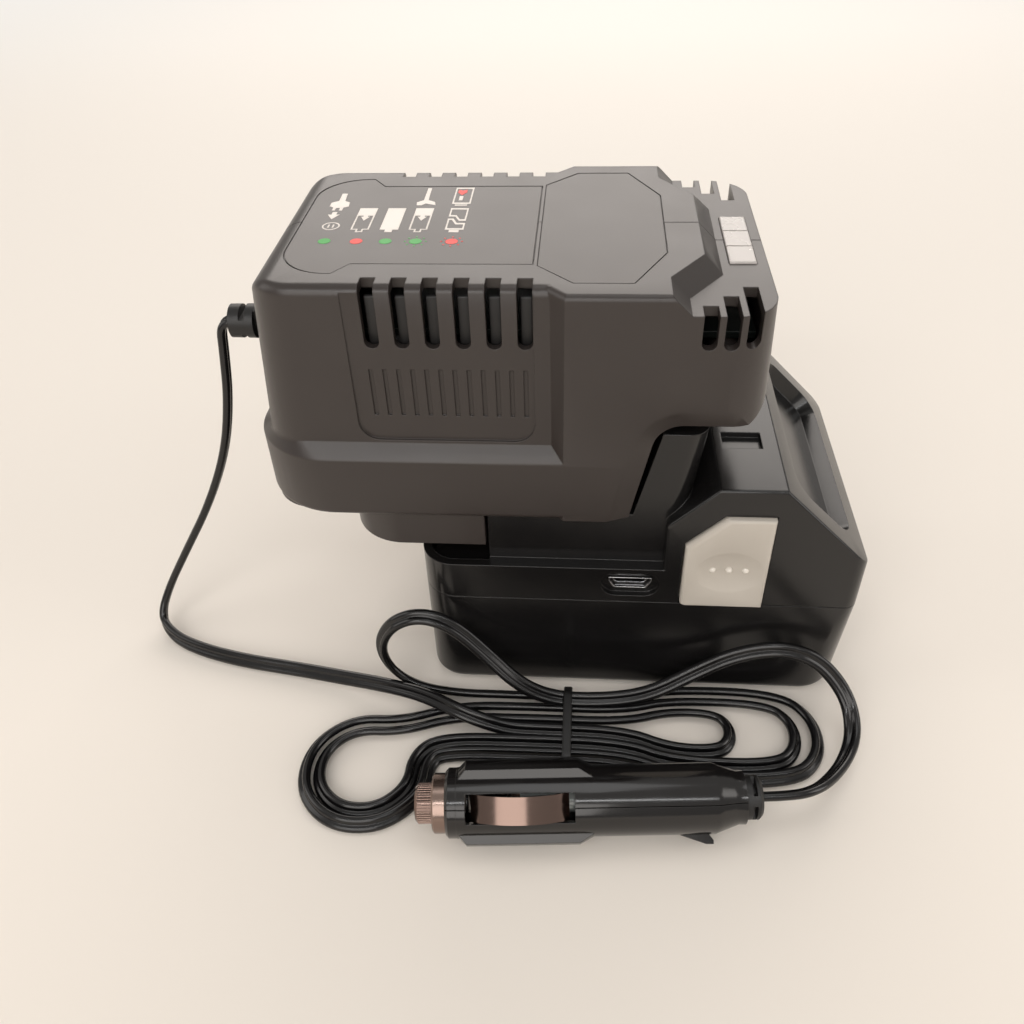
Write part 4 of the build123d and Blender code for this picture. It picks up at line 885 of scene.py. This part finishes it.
@dataclass
class Charger:
    """The charger: housing halves, labels with their marks, light window, gland and what is inside."""

    shop: Shop
    slot_count: int = 6
    slot_first: float = -63.2
    slot_pitch: float = 6.9
    liner_width: float = 2.7
    liner_shift: float = 0.25
    liner_low: float = 105.5
    liner_rail: float = 108.6
    liner_high: float = 120.6
    liner_inner: float = 30.3
    liner_outer: float = 31.55
    liner_edge: float = 0.3
    window_x: float = 20.0
    window_top: float = 120.1
    window_third: float = 4.27
    groove_width: float = 0.45
    groove_depth: float = 0.6
    groove_reach: float = 10.0

    def liner(self, side: Side) -> None:
        """Builds the black comb that stands behind the slots on one side.

        Args:
            side: The side.
        """
        low, high = sorted((side.value * self.liner_inner, side.value * self.liner_outer))
        half = self.liner_width / 2
        last = self.slot_first + (self.slot_count - 1) * self.slot_pitch
        bars = [
            box_piece(
                "slot_liner",
                (self.slot_first - self.slot_pitch / 2, low, self.liner_low),
                (last + self.slot_pitch / 2, high, self.liner_rail),
            )
        ]
        for k in range(self.slot_count):
            x = self.slot_first + k * self.slot_pitch + self.liner_shift
            foot = (x - half, low, self.liner_rail)
            bars.append(box_piece("bar", foot, (x + half, high, self.liner_high)))
        comb = join(bars)
        comb.name = "slot_liner_" + side.word
        soften(comb, self.liner_edge)
        self.shop.paint(comb, INNER)
        self.shop.settle(comb, "charger", "inner_plastic")

    def window(self) -> None:
        """Builds the light window in three parts, with a fine groove between them."""
        piece = self.shop.refined("light_window", "light_bar")
        reach = self.groove_reach
        for side in Side:
            y = side.value * self.window_third
            low = (self.window_x - reach, y - self.groove_width / 2, self.window_top - self.groove_depth)
            high = (self.window_x + reach, y + self.groove_width / 2, self.window_top + reach)
            cut(piece, box_piece("groove_tool", low, high))
        self.shop.paint(piece, LENS)
        self.shop.settle(piece, "charger", "window_plastic", ["light_window"])

    def build(self) -> None:
        """Builds and dresses the charger."""
        for node, name, finish, slot in (
            ("housing_near_half", "housing_near_shell", CHARGER_ABS, "charger_plastic"),
            ("housing_far_half", "housing_far_shell", CHARGER_ABS, "charger_plastic"),
            ("status_label", "status_film", FILM, "label_film"),
            ("rating_label", "rating_film", FILM, "label_film"),
            ("cord_gland", "gland_sleeve", RUBBER, "cord_rubber"),
        ):
            self.shop.dress(node, name, finish, "charger", slot)
        self.window()
        for side in Side:
            self.liner(side)
        StatusMarks(self.shop).build()
        for node, finish in (
            # Near-black board: painted shade for the insides seen through the slots.
            ("circuit_board", BOARD_PAINTED_SHADE),
            ("transformer", FERRITE),
            ("choke_coil", FERRITE),
            ("capacitors", ALUMINIUM),
            ("heat_sink", SINK),
            ("status_lights", LENS),
            ("contact_block", INNER),
            ("contact_blades", BRASS),
            ("housing_screws", STEEL),
        ):
            self.shop.paint_node(node, finish)


@dataclass
class Pack:
    """The battery pack: cases, latches, socket, terminals and cells."""

    shop: Shop
    dots: tuple[float, float, float] = (18.5, 22.7, 26.9)
    dot_y: float = 38.2
    dot_z: float = 47.5
    dot_reach: float = 0.93
    latch_travel: float = 2.5
    rim_x: float = -2.3
    rim_z: float = 41.3
    rim_outer: float = -37.75
    rim_depth: float = 1.2
    rim_wall: float = 0.5
    rim_edge: float = 0.15
    rim_reach: Flat = (5.7, 2.4)
    rim_loop: tuple[Flat, ...] = (
        (-5.7, 1.9),
        (5.7, 1.9),
        (5.7, 0.4),
        (4.3, -1.9),
        (-4.3, -1.9),
        (-5.7, 0.4),
    )

    def latch(self, side: Side) -> None:
        """Builds a latch button, with its three raised dots smoother and paler, the paleness partly a
        painted highlight on them.

        Args:
            side: The side.
        """
        node = "latch_" + side.word
        piece = self.shop.refined(node, side.word + "_latch_button")
        self.shop.paint(piece, LATCH_ABS)
        # The dots' faces get a paler material: their own paler plastic and a painted highlight.
        piece.data.materials.append(self.shop.finishes.of(LATCH_DOT_PALE_AND_HIGHLIGHT))
        for x in self.dots:
            middle = Vector((x, side.value * self.dot_y, self.dot_z)) * MM
            for face in piece.data.polygons:
                corners = [piece.data.vertices[v].co for v in face.vertices]
                if max((corner - middle).length for corner in corners) < self.dot_reach * MM:
                    face.material_index = 1
        self.shop.settle(piece, node, "latch_plastic", [node])

    def socket_rim(self) -> None:
        """Builds the bright metal rim round the charging socket."""
        # The hole is the outline, drawn in by the wall's share of the rim's reach across and up.
        across, up = (1.0 - self.rim_wall / reach for reach in self.rim_reach)
        inner = [(x * across, z * up) for x, z in self.rim_loop]
        rim = flat_piece("socket_rim", (self.rim_loop, inner), self.rim_depth / 2)
        rim.rotation_euler.x = math.radians(90)
        rim.location = Vector((self.rim_x, self.rim_outer + self.rim_depth / 2, self.rim_z)) * MM
        apply_place(rim)
        soften(rim, self.rim_edge)
        self.shop.paint(rim, SPRING)
        self.shop.settle(rim, "pack", "spring_steel")

    def build(self) -> None:
        """Builds and dresses the pack."""
        for node, name in (("lower_case", "pack_tub"), ("upper_cover", "pack_cover")):
            self.shop.dress(node, name, PACK_ABS, "pack", "pack_plastic")
        for side in Side:
            self.latch(side)
        self.socket_rim()
        for node, finish in (
            ("case_screws", STEEL),
            ("cells", CELL_WRAP),
            ("cell_holders", INNER),
            ("cell_straps", SPRING),
            ("pack_board", BOARD_PAINTED_SHADE),
            ("usb_socket", SPRING),
            ("post_terminals", BRASS),
        ):
            self.shop.paint_node(node, finish)
        for side in Side:
            joint = "latch_" + side.word + "_press"
            inward = (0.0, -float(side.value), 0.0)
            self.shop.spring("latch_spring_" + side.word, joint, inward, self.latch_travel)


@dataclass
class Plug:
    """The lighter plug at the end of the cord."""

    shop: Shop
    turn_deg: float = 4.3
    tip_travel: float = 2.5
    pieces: list[Piece] = field(default_factory=list)

    def build(self) -> None:
        """Builds and dresses the plug."""
        for node, body, slot, finish in (
            ("plug_upper_shell", "pack", "plug_plastic", PLUG_PHENOLIC),
            ("plug_lower_shell", "pack", "plug_plastic", PLUG_PHENOLIC),
            ("plug_nose_ring", "pack", "plug_nickel", NICKEL),
            # Tip and contacts take the darker copy of the plate.
            ("plug_tip", "plug_tip", "plug_nickel", DARKER_NICKEL),
            ("plug_contact_upper", "plug_contact_upper", "plug_nickel", DARKER_NICKEL),
            ("plug_contact_lower", "plug_contact_lower", "plug_nickel", DARKER_NICKEL),
            ("plug_grommet", "pack", "cord_rubber", RUBBER),
        ):
            self.pieces.append(self.shop.dress(node, node + "_piece", finish, body, slot))
        for node, finish in (("plug_screw", STEEL), ("plug_fuse", GLASS)):
            self.shop.paint_node(node, finish)
        turn = math.radians(self.turn_deg)
        inward = (math.cos(turn), math.sin(turn), 0.0)
        self.shop.spring("plug_tip_spring", "plug_tip_press", inward, self.tip_travel)


@dataclass
class Cord:
    """The flat twin cord from the gland through the tied hank to the plug.

    Each strand's round runs valley_deg either way from its outer side, to the valley between the strands.
    Where a level stretch lies below lean_z the twin tips over towards lean_deg, by lean_rate at each ring,
    and this dies away over the next lean_fade of height.
    """

    shop: Shop
    length_m: float = 1.2
    width: float = 4.4
    strand: float = 2.3
    valley_deg: float = 148.0
    section_steps: int = 11
    spline_steps: int = 8
    least_step: float = 0.02
    crease_deg: float = 50.0
    lean_deg: float = 50.0
    lean_rate: float = 0.1
    lean_level: float = 0.8
    lean_z: float = 6.0
    lean_fade: float = 5.0
    blend_low_m: Point = (-0.108, 0.0, 0.036)
    blend_high_m: Point = (-0.108, 0.0, 0.095)
    tie_edge: float = 0.45
    tie_margin: float = 1.0
    pitch: float = 4.0
    waist: Flat = (-28.0, -8.0)
    waist_y: float = -55.5
    waist_z: float = 2.7
    floor_z: float = 2.05
    right_lead: float = 24.0
    right_radius: float = 6.5
    right_places: tuple[float, float, float] = (20.0, 33.5, 35.5)
    left_x: float = -71.5
    left_radius: float = 12.5
    left_shift: float = 6.0
    left_lead: float = 30.0
    drop: tuple[Point, ...] = (
        (-108.56, 0.0, 97.0),
        (-111.96, 0.0, 97.0),
        (-112.6, -1.2, 88.4),
        (-113.6, -4.0, 75.0),
        (-117.4, -6.6, 59.0),
        (-125.2, -10.0, 42.0),
        (-135.2, -13.2, 26.0),
        (-143.4, -16.4, 12.5),
        (-146.4, -21.4, 4.4),
        (-140.4, -27.8, 2.3),
        (-129.76, -32.6, 2.25),
        (-115.56, -36.2, 2.25),
        (-99.16, -38.6, 2.25),
        (-84.16, -41.6, 2.8),
        (-70.16, -45.4, 4.7),
        (-58.16, -50.0, 6.7),
        (-48.16, -55.2, 6.8),
        (-41.0, -57.3, 5.5),
        (-34.0, -57.5, 2.9),
    )
    tail: tuple[Point, ...] = (
        (-37.0, -45.5, 2.7),
        (-50.0, -45.6, 2.7),
        (-62.0, -44.2, 3.6),
        (-69.6, -42.8, 9.8),
        (-71.4, -42.2, 19.0),
        (-66.6, -42.4, 28.0),
        (-58.2, -42.6, 31.8),
        (-49.6, -42.8, 28.0),
        (-41.0, -44.6, 19.2),
        (-32.0, -48.6, 11.4),
        (-22.0, -49.5, 6.4),
        (-7.0, -49.2, 6.4),
        (5.0, -47.4, 7.7),
        (16.6, -43.8, 13.2),
        (27.4, -42.6, 20.0),
        (39.0, -42.4, 23.0),
        (48.4, -43.2, 20.2),
        (54.8, -45.6, 14.4),
        (58.6, -50.0, 9.0),
        (58.6, -57.5, 5.6),
        (55.0, -65.0, 5.2),
        (50.0, -71.8, 7.0),
        (44.6, -77.2, 9.4),
        (38.34, -79.59, 10.1),
        (30.36, -80.19, 10.1),
    )

    def slot_y(self, slot: float) -> float:
        """Gives the side place of a strand at the tie."""
        return self.waist_y + slot * self.pitch

    def bend(self, x: float, y: float, radius: float, first: float, corners: int = 1) -> list[Point]:
        """Gives the control points round a lobe of the hank, an eighth of a turn apart.

        Args:
            x: Middle of the lobe.
            y: Middle of the lobe.
            radius: Radius of the lobe.
            first: Direction of the first corner, in eighths of a turn.
            corners: How many corners.

        Returns:
            The control points.
        """
        reach = radius / math.cos(math.radians(EIGHTH_TURN_DEG / 2))
        points = []
        for k in range(corners):
            angle = math.radians(EIGHTH_TURN_DEG * (first + k))
            points.append((x + reach * math.cos(angle), y + reach * math.sin(angle), self.floor_z))
        return points

    def hank(self) -> list[Point]:
        """Gives the control points of the tied loops.

        Returns:
            Three loops to the right and two to the left of the tie.
        """
        left, right = self.waist
        tied = left + self.tie_margin
        points: list[Point] = []
        quarter = self.right_lead / 4
        for k, turn_x in enumerate(self.right_places):
            radius = self.right_radius + k * self.pitch
            near = self.slot_y(-0.5 - k)
            far = self.slot_y(0.5 + k)
            points += [(tied, near, self.waist_z), (right + quarter, near, self.waist_z)]
            points.append((right + 3 * quarter, self.waist_y - radius, self.floor_z))
            points += self.bend(turn_x, self.waist_y, radius, -1.5, 4)
            points.append((right + 3 * quarter, self.waist_y + radius, self.floor_z))
            points += [(right + quarter, far, self.waist_z), (tied, far, self.waist_z)]
            if k == len(self.right_places) - 1:
                break
            radius = self.left_radius + k * self.pitch
            top = far - self.left_shift
            start = self.left_x + self.left_lead
            points.append((start - self.left_lead / 4, far, self.floor_z))
            points.append((start - 3 * self.left_lead / 4, top, self.floor_z))
            points += self.bend(self.left_x, top - radius, radius, 2.5, 6)
            back = self.slot_y(-1.5 - k) - top + radius
            middle = self.left_x + radius + back
            points += self.bend(middle, top - radius, back, 3.5)
            points += self.bend(middle, top - radius, back, 2.5)
        return points

    def centre_line(self) -> list[Vector]:
        """Reads the smooth centre line from one spline through all the control points.

        Returns:
            Points along the line, in metres.
        """
        route = list(self.drop) + self.hank() + list(self.tail)
        data = bpy.data.curves.new("cord_route", "CURVE")
        data.dimensions = "3D"
        data.resolution_u = self.spline_steps
        spline = data.splines.new("NURBS")
        spline.points.add(len(route) - 1)
        for point, place in zip(spline.points, route):
            point.co = (*(Vector(place) * MM), 1.0)
        spline.order_u = 3
        spline.use_endpoint_u = True
        holder = bpy.data.objects.new("cord_route", data)
        bpy.context.scene.collection.objects.link(holder)
        bpy.context.view_layer.update()
        mesh = bpy.data.meshes.new_from_object(holder.evaluated_get(bpy.context.evaluated_depsgraph_get()))
        line = [v.co.copy() for v in mesh.vertices]
        bpy.data.objects.remove(holder)
        bpy.data.curves.remove(data)
        bpy.data.meshes.remove(mesh)
        least = self.least_step * MM
        return line[:1] + [p for before, p in zip(line, line[1:]) if (p - before).length > least]

    def section(self) -> list[Flat]:
        """Gives the twin section, two round strands side by side.

        Returns:
            Its corners, as places across and up.
        """
        radius = self.strand / 2
        middle = self.width / 2 - radius
        right = []
        for k in range(self.section_steps):
            angle = math.radians(-self.valley_deg + 2 * self.valley_deg * k / (self.section_steps - 1))
            right.append((middle + radius * math.cos(angle), radius * math.sin(angle)))
        return right + [(-across, -up) for across, up in right]

    def rings(self, line: list[Vector]) -> list[tuple[Vector, Vector, Vector]]:
        """Turns the twin section along the line with little twist, leaning where it lies on the floor.

        Args:
            line: Points of the centre line.

        Returns:
            Each ring's middle, the direction across the twin and the direction of its thickness.
        """
        lean = math.radians(self.lean_deg)
        across = Vector((0.0, 1.0, 0.0))
        rings = []
        for i, middle in enumerate(line):
            ahead = (line[min(i + 1, len(line) - 1)] - line[max(i - 1, 0)]).normalized()
            across = (across - ahead * across.dot(ahead)).normalized()
            level = Vector((ahead.x, ahead.y)).length
            low = 1.0 - min(max((middle.z / MM - self.lean_z) / self.lean_fade, 0.0), 1.0)
            if level > self.lean_level and low > 0.0:
                side = Vector((0.0, 0.0, 1.0)).cross(ahead).normalized()
                rest = side * math.cos(lean) + ahead.cross(side) * math.sin(lean)
                rest = rest if rest.dot(across) > 0 else -rest
                across = across.lerp(rest, self.lean_rate * low).normalized()
            rings.append((middle, across.copy(), ahead.cross(across).normalized()))
        return rings

    def tube(self, line: list[Vector]) -> Piece:
        """Sweeps the twin section along the line.

        Args:
            line: Points of the centre line.

        Returns:
            The cord as a closed mesh.
        """
        section = self.section()
        verts: list[Vector] = []
        faces: list[Sequence[int]] = []
        count = len(section)
        for middle, across, thick in self.rings(line):
            verts += [middle + across * (a * MM) + thick * (t * MM) for a, t in section]
        for i in range(len(line) - 1):
            for k in range(count):
                n = (k + 1) % count
                faces.append((i * count + k, (i + 1) * count + k, (i + 1) * count + n, i * count + n))
        faces.append(list(range(count)))
        faces.append([len(verts) - 1 - k for k in range(count)])
        mesh = bpy.data.meshes.new("twin_cord")
        mesh.from_pydata(verts, [], faces)
        piece = bpy.data.objects.new("twin_cord", mesh)
        bpy.context.scene.collection.objects.link(piece)
        select_only(piece)
        bpy.ops.object.mode_set(mode="EDIT")
        bpy.ops.mesh.select_all(action="SELECT")
        bpy.ops.mesh.normals_make_consistent(inside=False)
        bpy.ops.object.mode_set(mode="OBJECT")
        bpy.ops.object.shade_smooth_by_angle(angle=math.radians(self.crease_deg))
        return piece

    def build(self, plug: Plug) -> None:
        """Args:
            plug: The plug on its far end; not used.
        """
        line = self.centre_line()
        piece = self.tube(line)
        self.shop.paint(piece, CORD_VINYL)
        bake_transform(piece)
        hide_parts("cord_drop", "cord_hank", "cord_tail")
        log.info("piece %s bends from pack to charger, %d faces", piece.name, len(piece.data.polygons))
        tie = self.shop.refined("cord_tie", "tie_strap")
        soften(tie, self.tie_edge)
        self.shop.paint(tie, RUBBER)
        self.shop.settle(tie, "pack", "cord_rubber", ["cord_tie"])


@dataclass(frozen=True)
class Panel:
    """A soft lamp panel that faces the object.

    Attributes:
        name: Name of the lamp.
        place_m: Its middle.
        wide_m: Its width.
        high_m: Its height.
        power: Its power, in watts.
        colour: Its colour.
    """

    name: str
    place_m: Point
    wide_m: float
    high_m: float
    power: float
    colour: str

    def hang(self, aim_m: Point) -> None:
        """Adds the lamp, which the camera doesn't see.

        Args:
            aim_m: Point that it faces.
        """
        data = bpy.data.lights.new(self.name, "AREA")
        data.shape = "RECTANGLE"
        data.size = self.wide_m
        data.size_y = self.high_m
        data.energy = self.power
        data.color = linear(self.colour)[:3]
        lamp = bpy.data.objects.new(self.name, data)
        lamp.location = self.place_m
        lamp.visible_camera = False
        lamp.rotation_euler = (Vector(aim_m) - Vector(self.place_m)).to_track_quat("-Z", "Y").to_euler()
        bpy.context.scene.collection.objects.link(lamp)


@dataclass
class Studio:
    """Floor, lamps, world and the camera at the photograph's angle."""

    camera_mm: Point = (-15.53, -214.20, 215.28)
    pitch_deg: float = 40.305
    yaw_deg: float = -5.580
    roll_deg: float = -2.256
    focal_px: float = 930.0
    frame_px: float = 1024.0
    sensor_mm: float = 36.0
    clip_m: float = 0.01
    floor_m: float = 6.0
    floor_roughness: float = 0.9
    near_colour: str = "#eae2d8"
    far_colour: str = "#f5f1eb"
    tint_m: Flat = (-0.15, 0.7)
    backdrop_colour: str = "#f7f3ed"
    fade_m: Flat = (0.55, 1.3)
    mirror_share: float = 0.3
    world_colour: str = "#f7f3ee"
    world_light: Flat = (0.16, 0.5)
    aim_m: Point = (0.0, 0.0, 0.05)
    panels: tuple[Panel, ...] = (
        Panel("back_panel", (0.0, 1.15, 0.75), 1.4, 0.8, 9.6, "#fff7f0"),
        Panel("overhead_panel", (0.1, 0.1, 1.0), 0.5, 0.5, 1.0, "#ffffff"),
        Panel("left_panel", (-0.95, -0.1, 0.5), 0.5, 0.7, 1.6, "#fffaf5"),
        Panel("right_panel", (0.85, -0.15, 0.4), 0.4, 0.6, 1.8, "#fffaf5"),
        Panel("front_panel", (-0.25, -1.05, 0.55), 1.0, 0.8, 6.2, "#fffaf5"),
        Panel("camera_strip", (0.0, -0.5, 0.62), 1.0, 0.03, 1.3, "#ffffff"),
    )

    def build(self) -> None:
        """Sets up everything that isn't part of the object."""
        self.floor()
        for panel in self.panels:
            panel.hang(self.aim_m)
        self.world()
        self.camera()

    def backdrop_rays(self, tree: bpy.types.NodeTree) -> bpy.types.NodeSocket:
        """Picks the rays that meet the pale backdrop: sight, glass and a share of the reflections.

        Args:
            tree: Node tree that takes the nodes.

        Returns:
            A socket with each ray's share of the backdrop, from 0 to 1.
        """
        path = add_node(tree, "LightPath", {}).outputs
        share = {0: path["Is Glossy Ray"], 1: self.mirror_share}
        mirrored = add_node(tree, "Math", share, operation="MULTIPLY").outputs["Value"]
        passed = {0: path["Is Transmission Ray"], 1: mirrored}
        dimmed = add_node(tree, "Math", passed, operation="MAXIMUM").outputs["Value"]
        seen = {0: path["Is Camera Ray"], 1: dimmed}
        return add_node(tree, "Math", seen, operation="MAXIMUM").outputs["Value"]

    def floor(self) -> None:
        """Adds the pale floor, a little paler towards the back, which fades into the backdrop far away."""
        bpy.ops.object.select_all(action="DESELECT")
        bpy.ops.mesh.primitive_plane_add(size=self.floor_m)
        floor = bpy.context.active_object
        floor.name = "studio_floor"
        material, tree = blank_material("floor_painted_paper")
        place = add_node(tree, "TexCoord", {}).outputs["Object"]
        parts = add_node(tree, "SeparateXYZ", {"Vector": place})
        away = add_node(
            tree,
            "MapRange",
            {"Value": parts.outputs["Y"], "From Min": self.tint_m[0], "From Max": self.tint_m[1]},
        )
        tint = add_node(
            tree,
            "Mix",
            {"Factor": away.outputs["Result"], "A": linear(self.near_colour), "B": linear(self.far_colour)},
            data_type="RGBA",
        )
        shader = add_node(
            tree,
            "BsdfPrincipled",
            {"Base Color": tint.outputs["Result"], "Roughness": self.floor_roughness},
        )
        reach = add_node(tree, "VectorMath", {0: place}, operation="LENGTH")
        fade = add_node(
            tree,
            "MapRange",
            {"Value": reach.outputs["Value"], "From Min": self.fade_m[0], "From Max": self.fade_m[1]},
            interpolation_type="SMOOTHSTEP",
        )
        faded = {0: fade.outputs["Result"], 1: self.backdrop_rays(tree)}
        share = add_node(tree, "Math", faded, operation="MULTIPLY")
        pale = add_node(tree, "Emission", {"Color": linear(self.backdrop_colour)})
        either = add_node(
            tree,
            "MixShader",
            {0: share.outputs["Value"], 1: shader.outputs["BSDF"], 2: pale.outputs["Emission"]},
        )
        add_node(tree, "OutputMaterial", {"Surface": either.outputs["Shader"]})
        floor.data.materials.append(material)

    def world(self) -> None:
        """Sets a plain surrounding light, brighter overhead, which the camera sees as a pale backdrop."""
        world = bpy.data.worlds.new("studio_world")
        world.use_nodes = True
        world.node_tree.nodes.clear()
        tree = world.node_tree
        way = add_node(tree, "TexCoord", {}).outputs["Generated"]
        parts = add_node(tree, "SeparateXYZ", {"Vector": way})
        level = add_node(
            tree,
            "MapRange",
            {"Value": parts.outputs["Z"], "To Min": self.world_light[0], "To Max": self.world_light[1]},
        )
        light = add_node(
            tree,
            "Background",
            {"Color": linear(self.world_colour), "Strength": level.outputs["Result"]},
        )
        seen = add_node(tree, "Background", {"Color": linear(self.backdrop_colour), "Strength": 1.0})
        either = add_node(
            tree,
            "MixShader",
            {0: self.backdrop_rays(tree), 1: light.outputs["Background"], 2: seen.outputs["Background"]},
        )
        add_node(tree, "OutputWorld", {"Surface": either.outputs["Shader"]})
        bpy.context.scene.world = world

    def camera(self) -> None:
        """Adds the camera where the photograph was taken."""
        pitch, yaw, roll = (math.radians(a) for a in (self.pitch_deg, self.yaw_deg, self.roll_deg))
        ahead = Vector((math.sin(yaw) * math.cos(pitch), math.cos(yaw) * math.cos(pitch), -math.sin(pitch)))
        right = Vector((math.cos(yaw), -math.sin(yaw), 0.0))
        up = right.cross(ahead)
        rolled_right = right * math.cos(roll) + up * math.sin(roll)
        rolled_up = up * math.cos(roll) - right * math.sin(roll)
        data = bpy.data.cameras.new("photo_camera")
        data.sensor_width = self.sensor_mm
        data.lens = self.focal_px / self.frame_px * self.sensor_mm
        data.clip_start = self.clip_m
        camera = bpy.data.objects.new("photo_camera", data)
        turn = Matrix((rolled_right, rolled_up, -ahead)).transposed()
        camera.matrix_world = Matrix.Translation(Vector(self.camera_mm) * MM) @ turn.to_4x4()
        bpy.context.scene.collection.objects.link(camera)
        bpy.context.scene.camera = camera
        bpy.context.scene.view_settings.view_transform = "Standard"


def main() -> None:
    """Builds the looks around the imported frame."""
    logging.basicConfig(level=logging.INFO, format="%(name)s: %(message)s")
    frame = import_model()
    shop = Shop(frame, Finishes())
    Studio().build()
    Charger(shop).build()
    Pack(shop).build()
    plug = Plug(shop)
    plug.build()
    Cord(shop).build(plug)


if __name__ == "__main__":
    main()
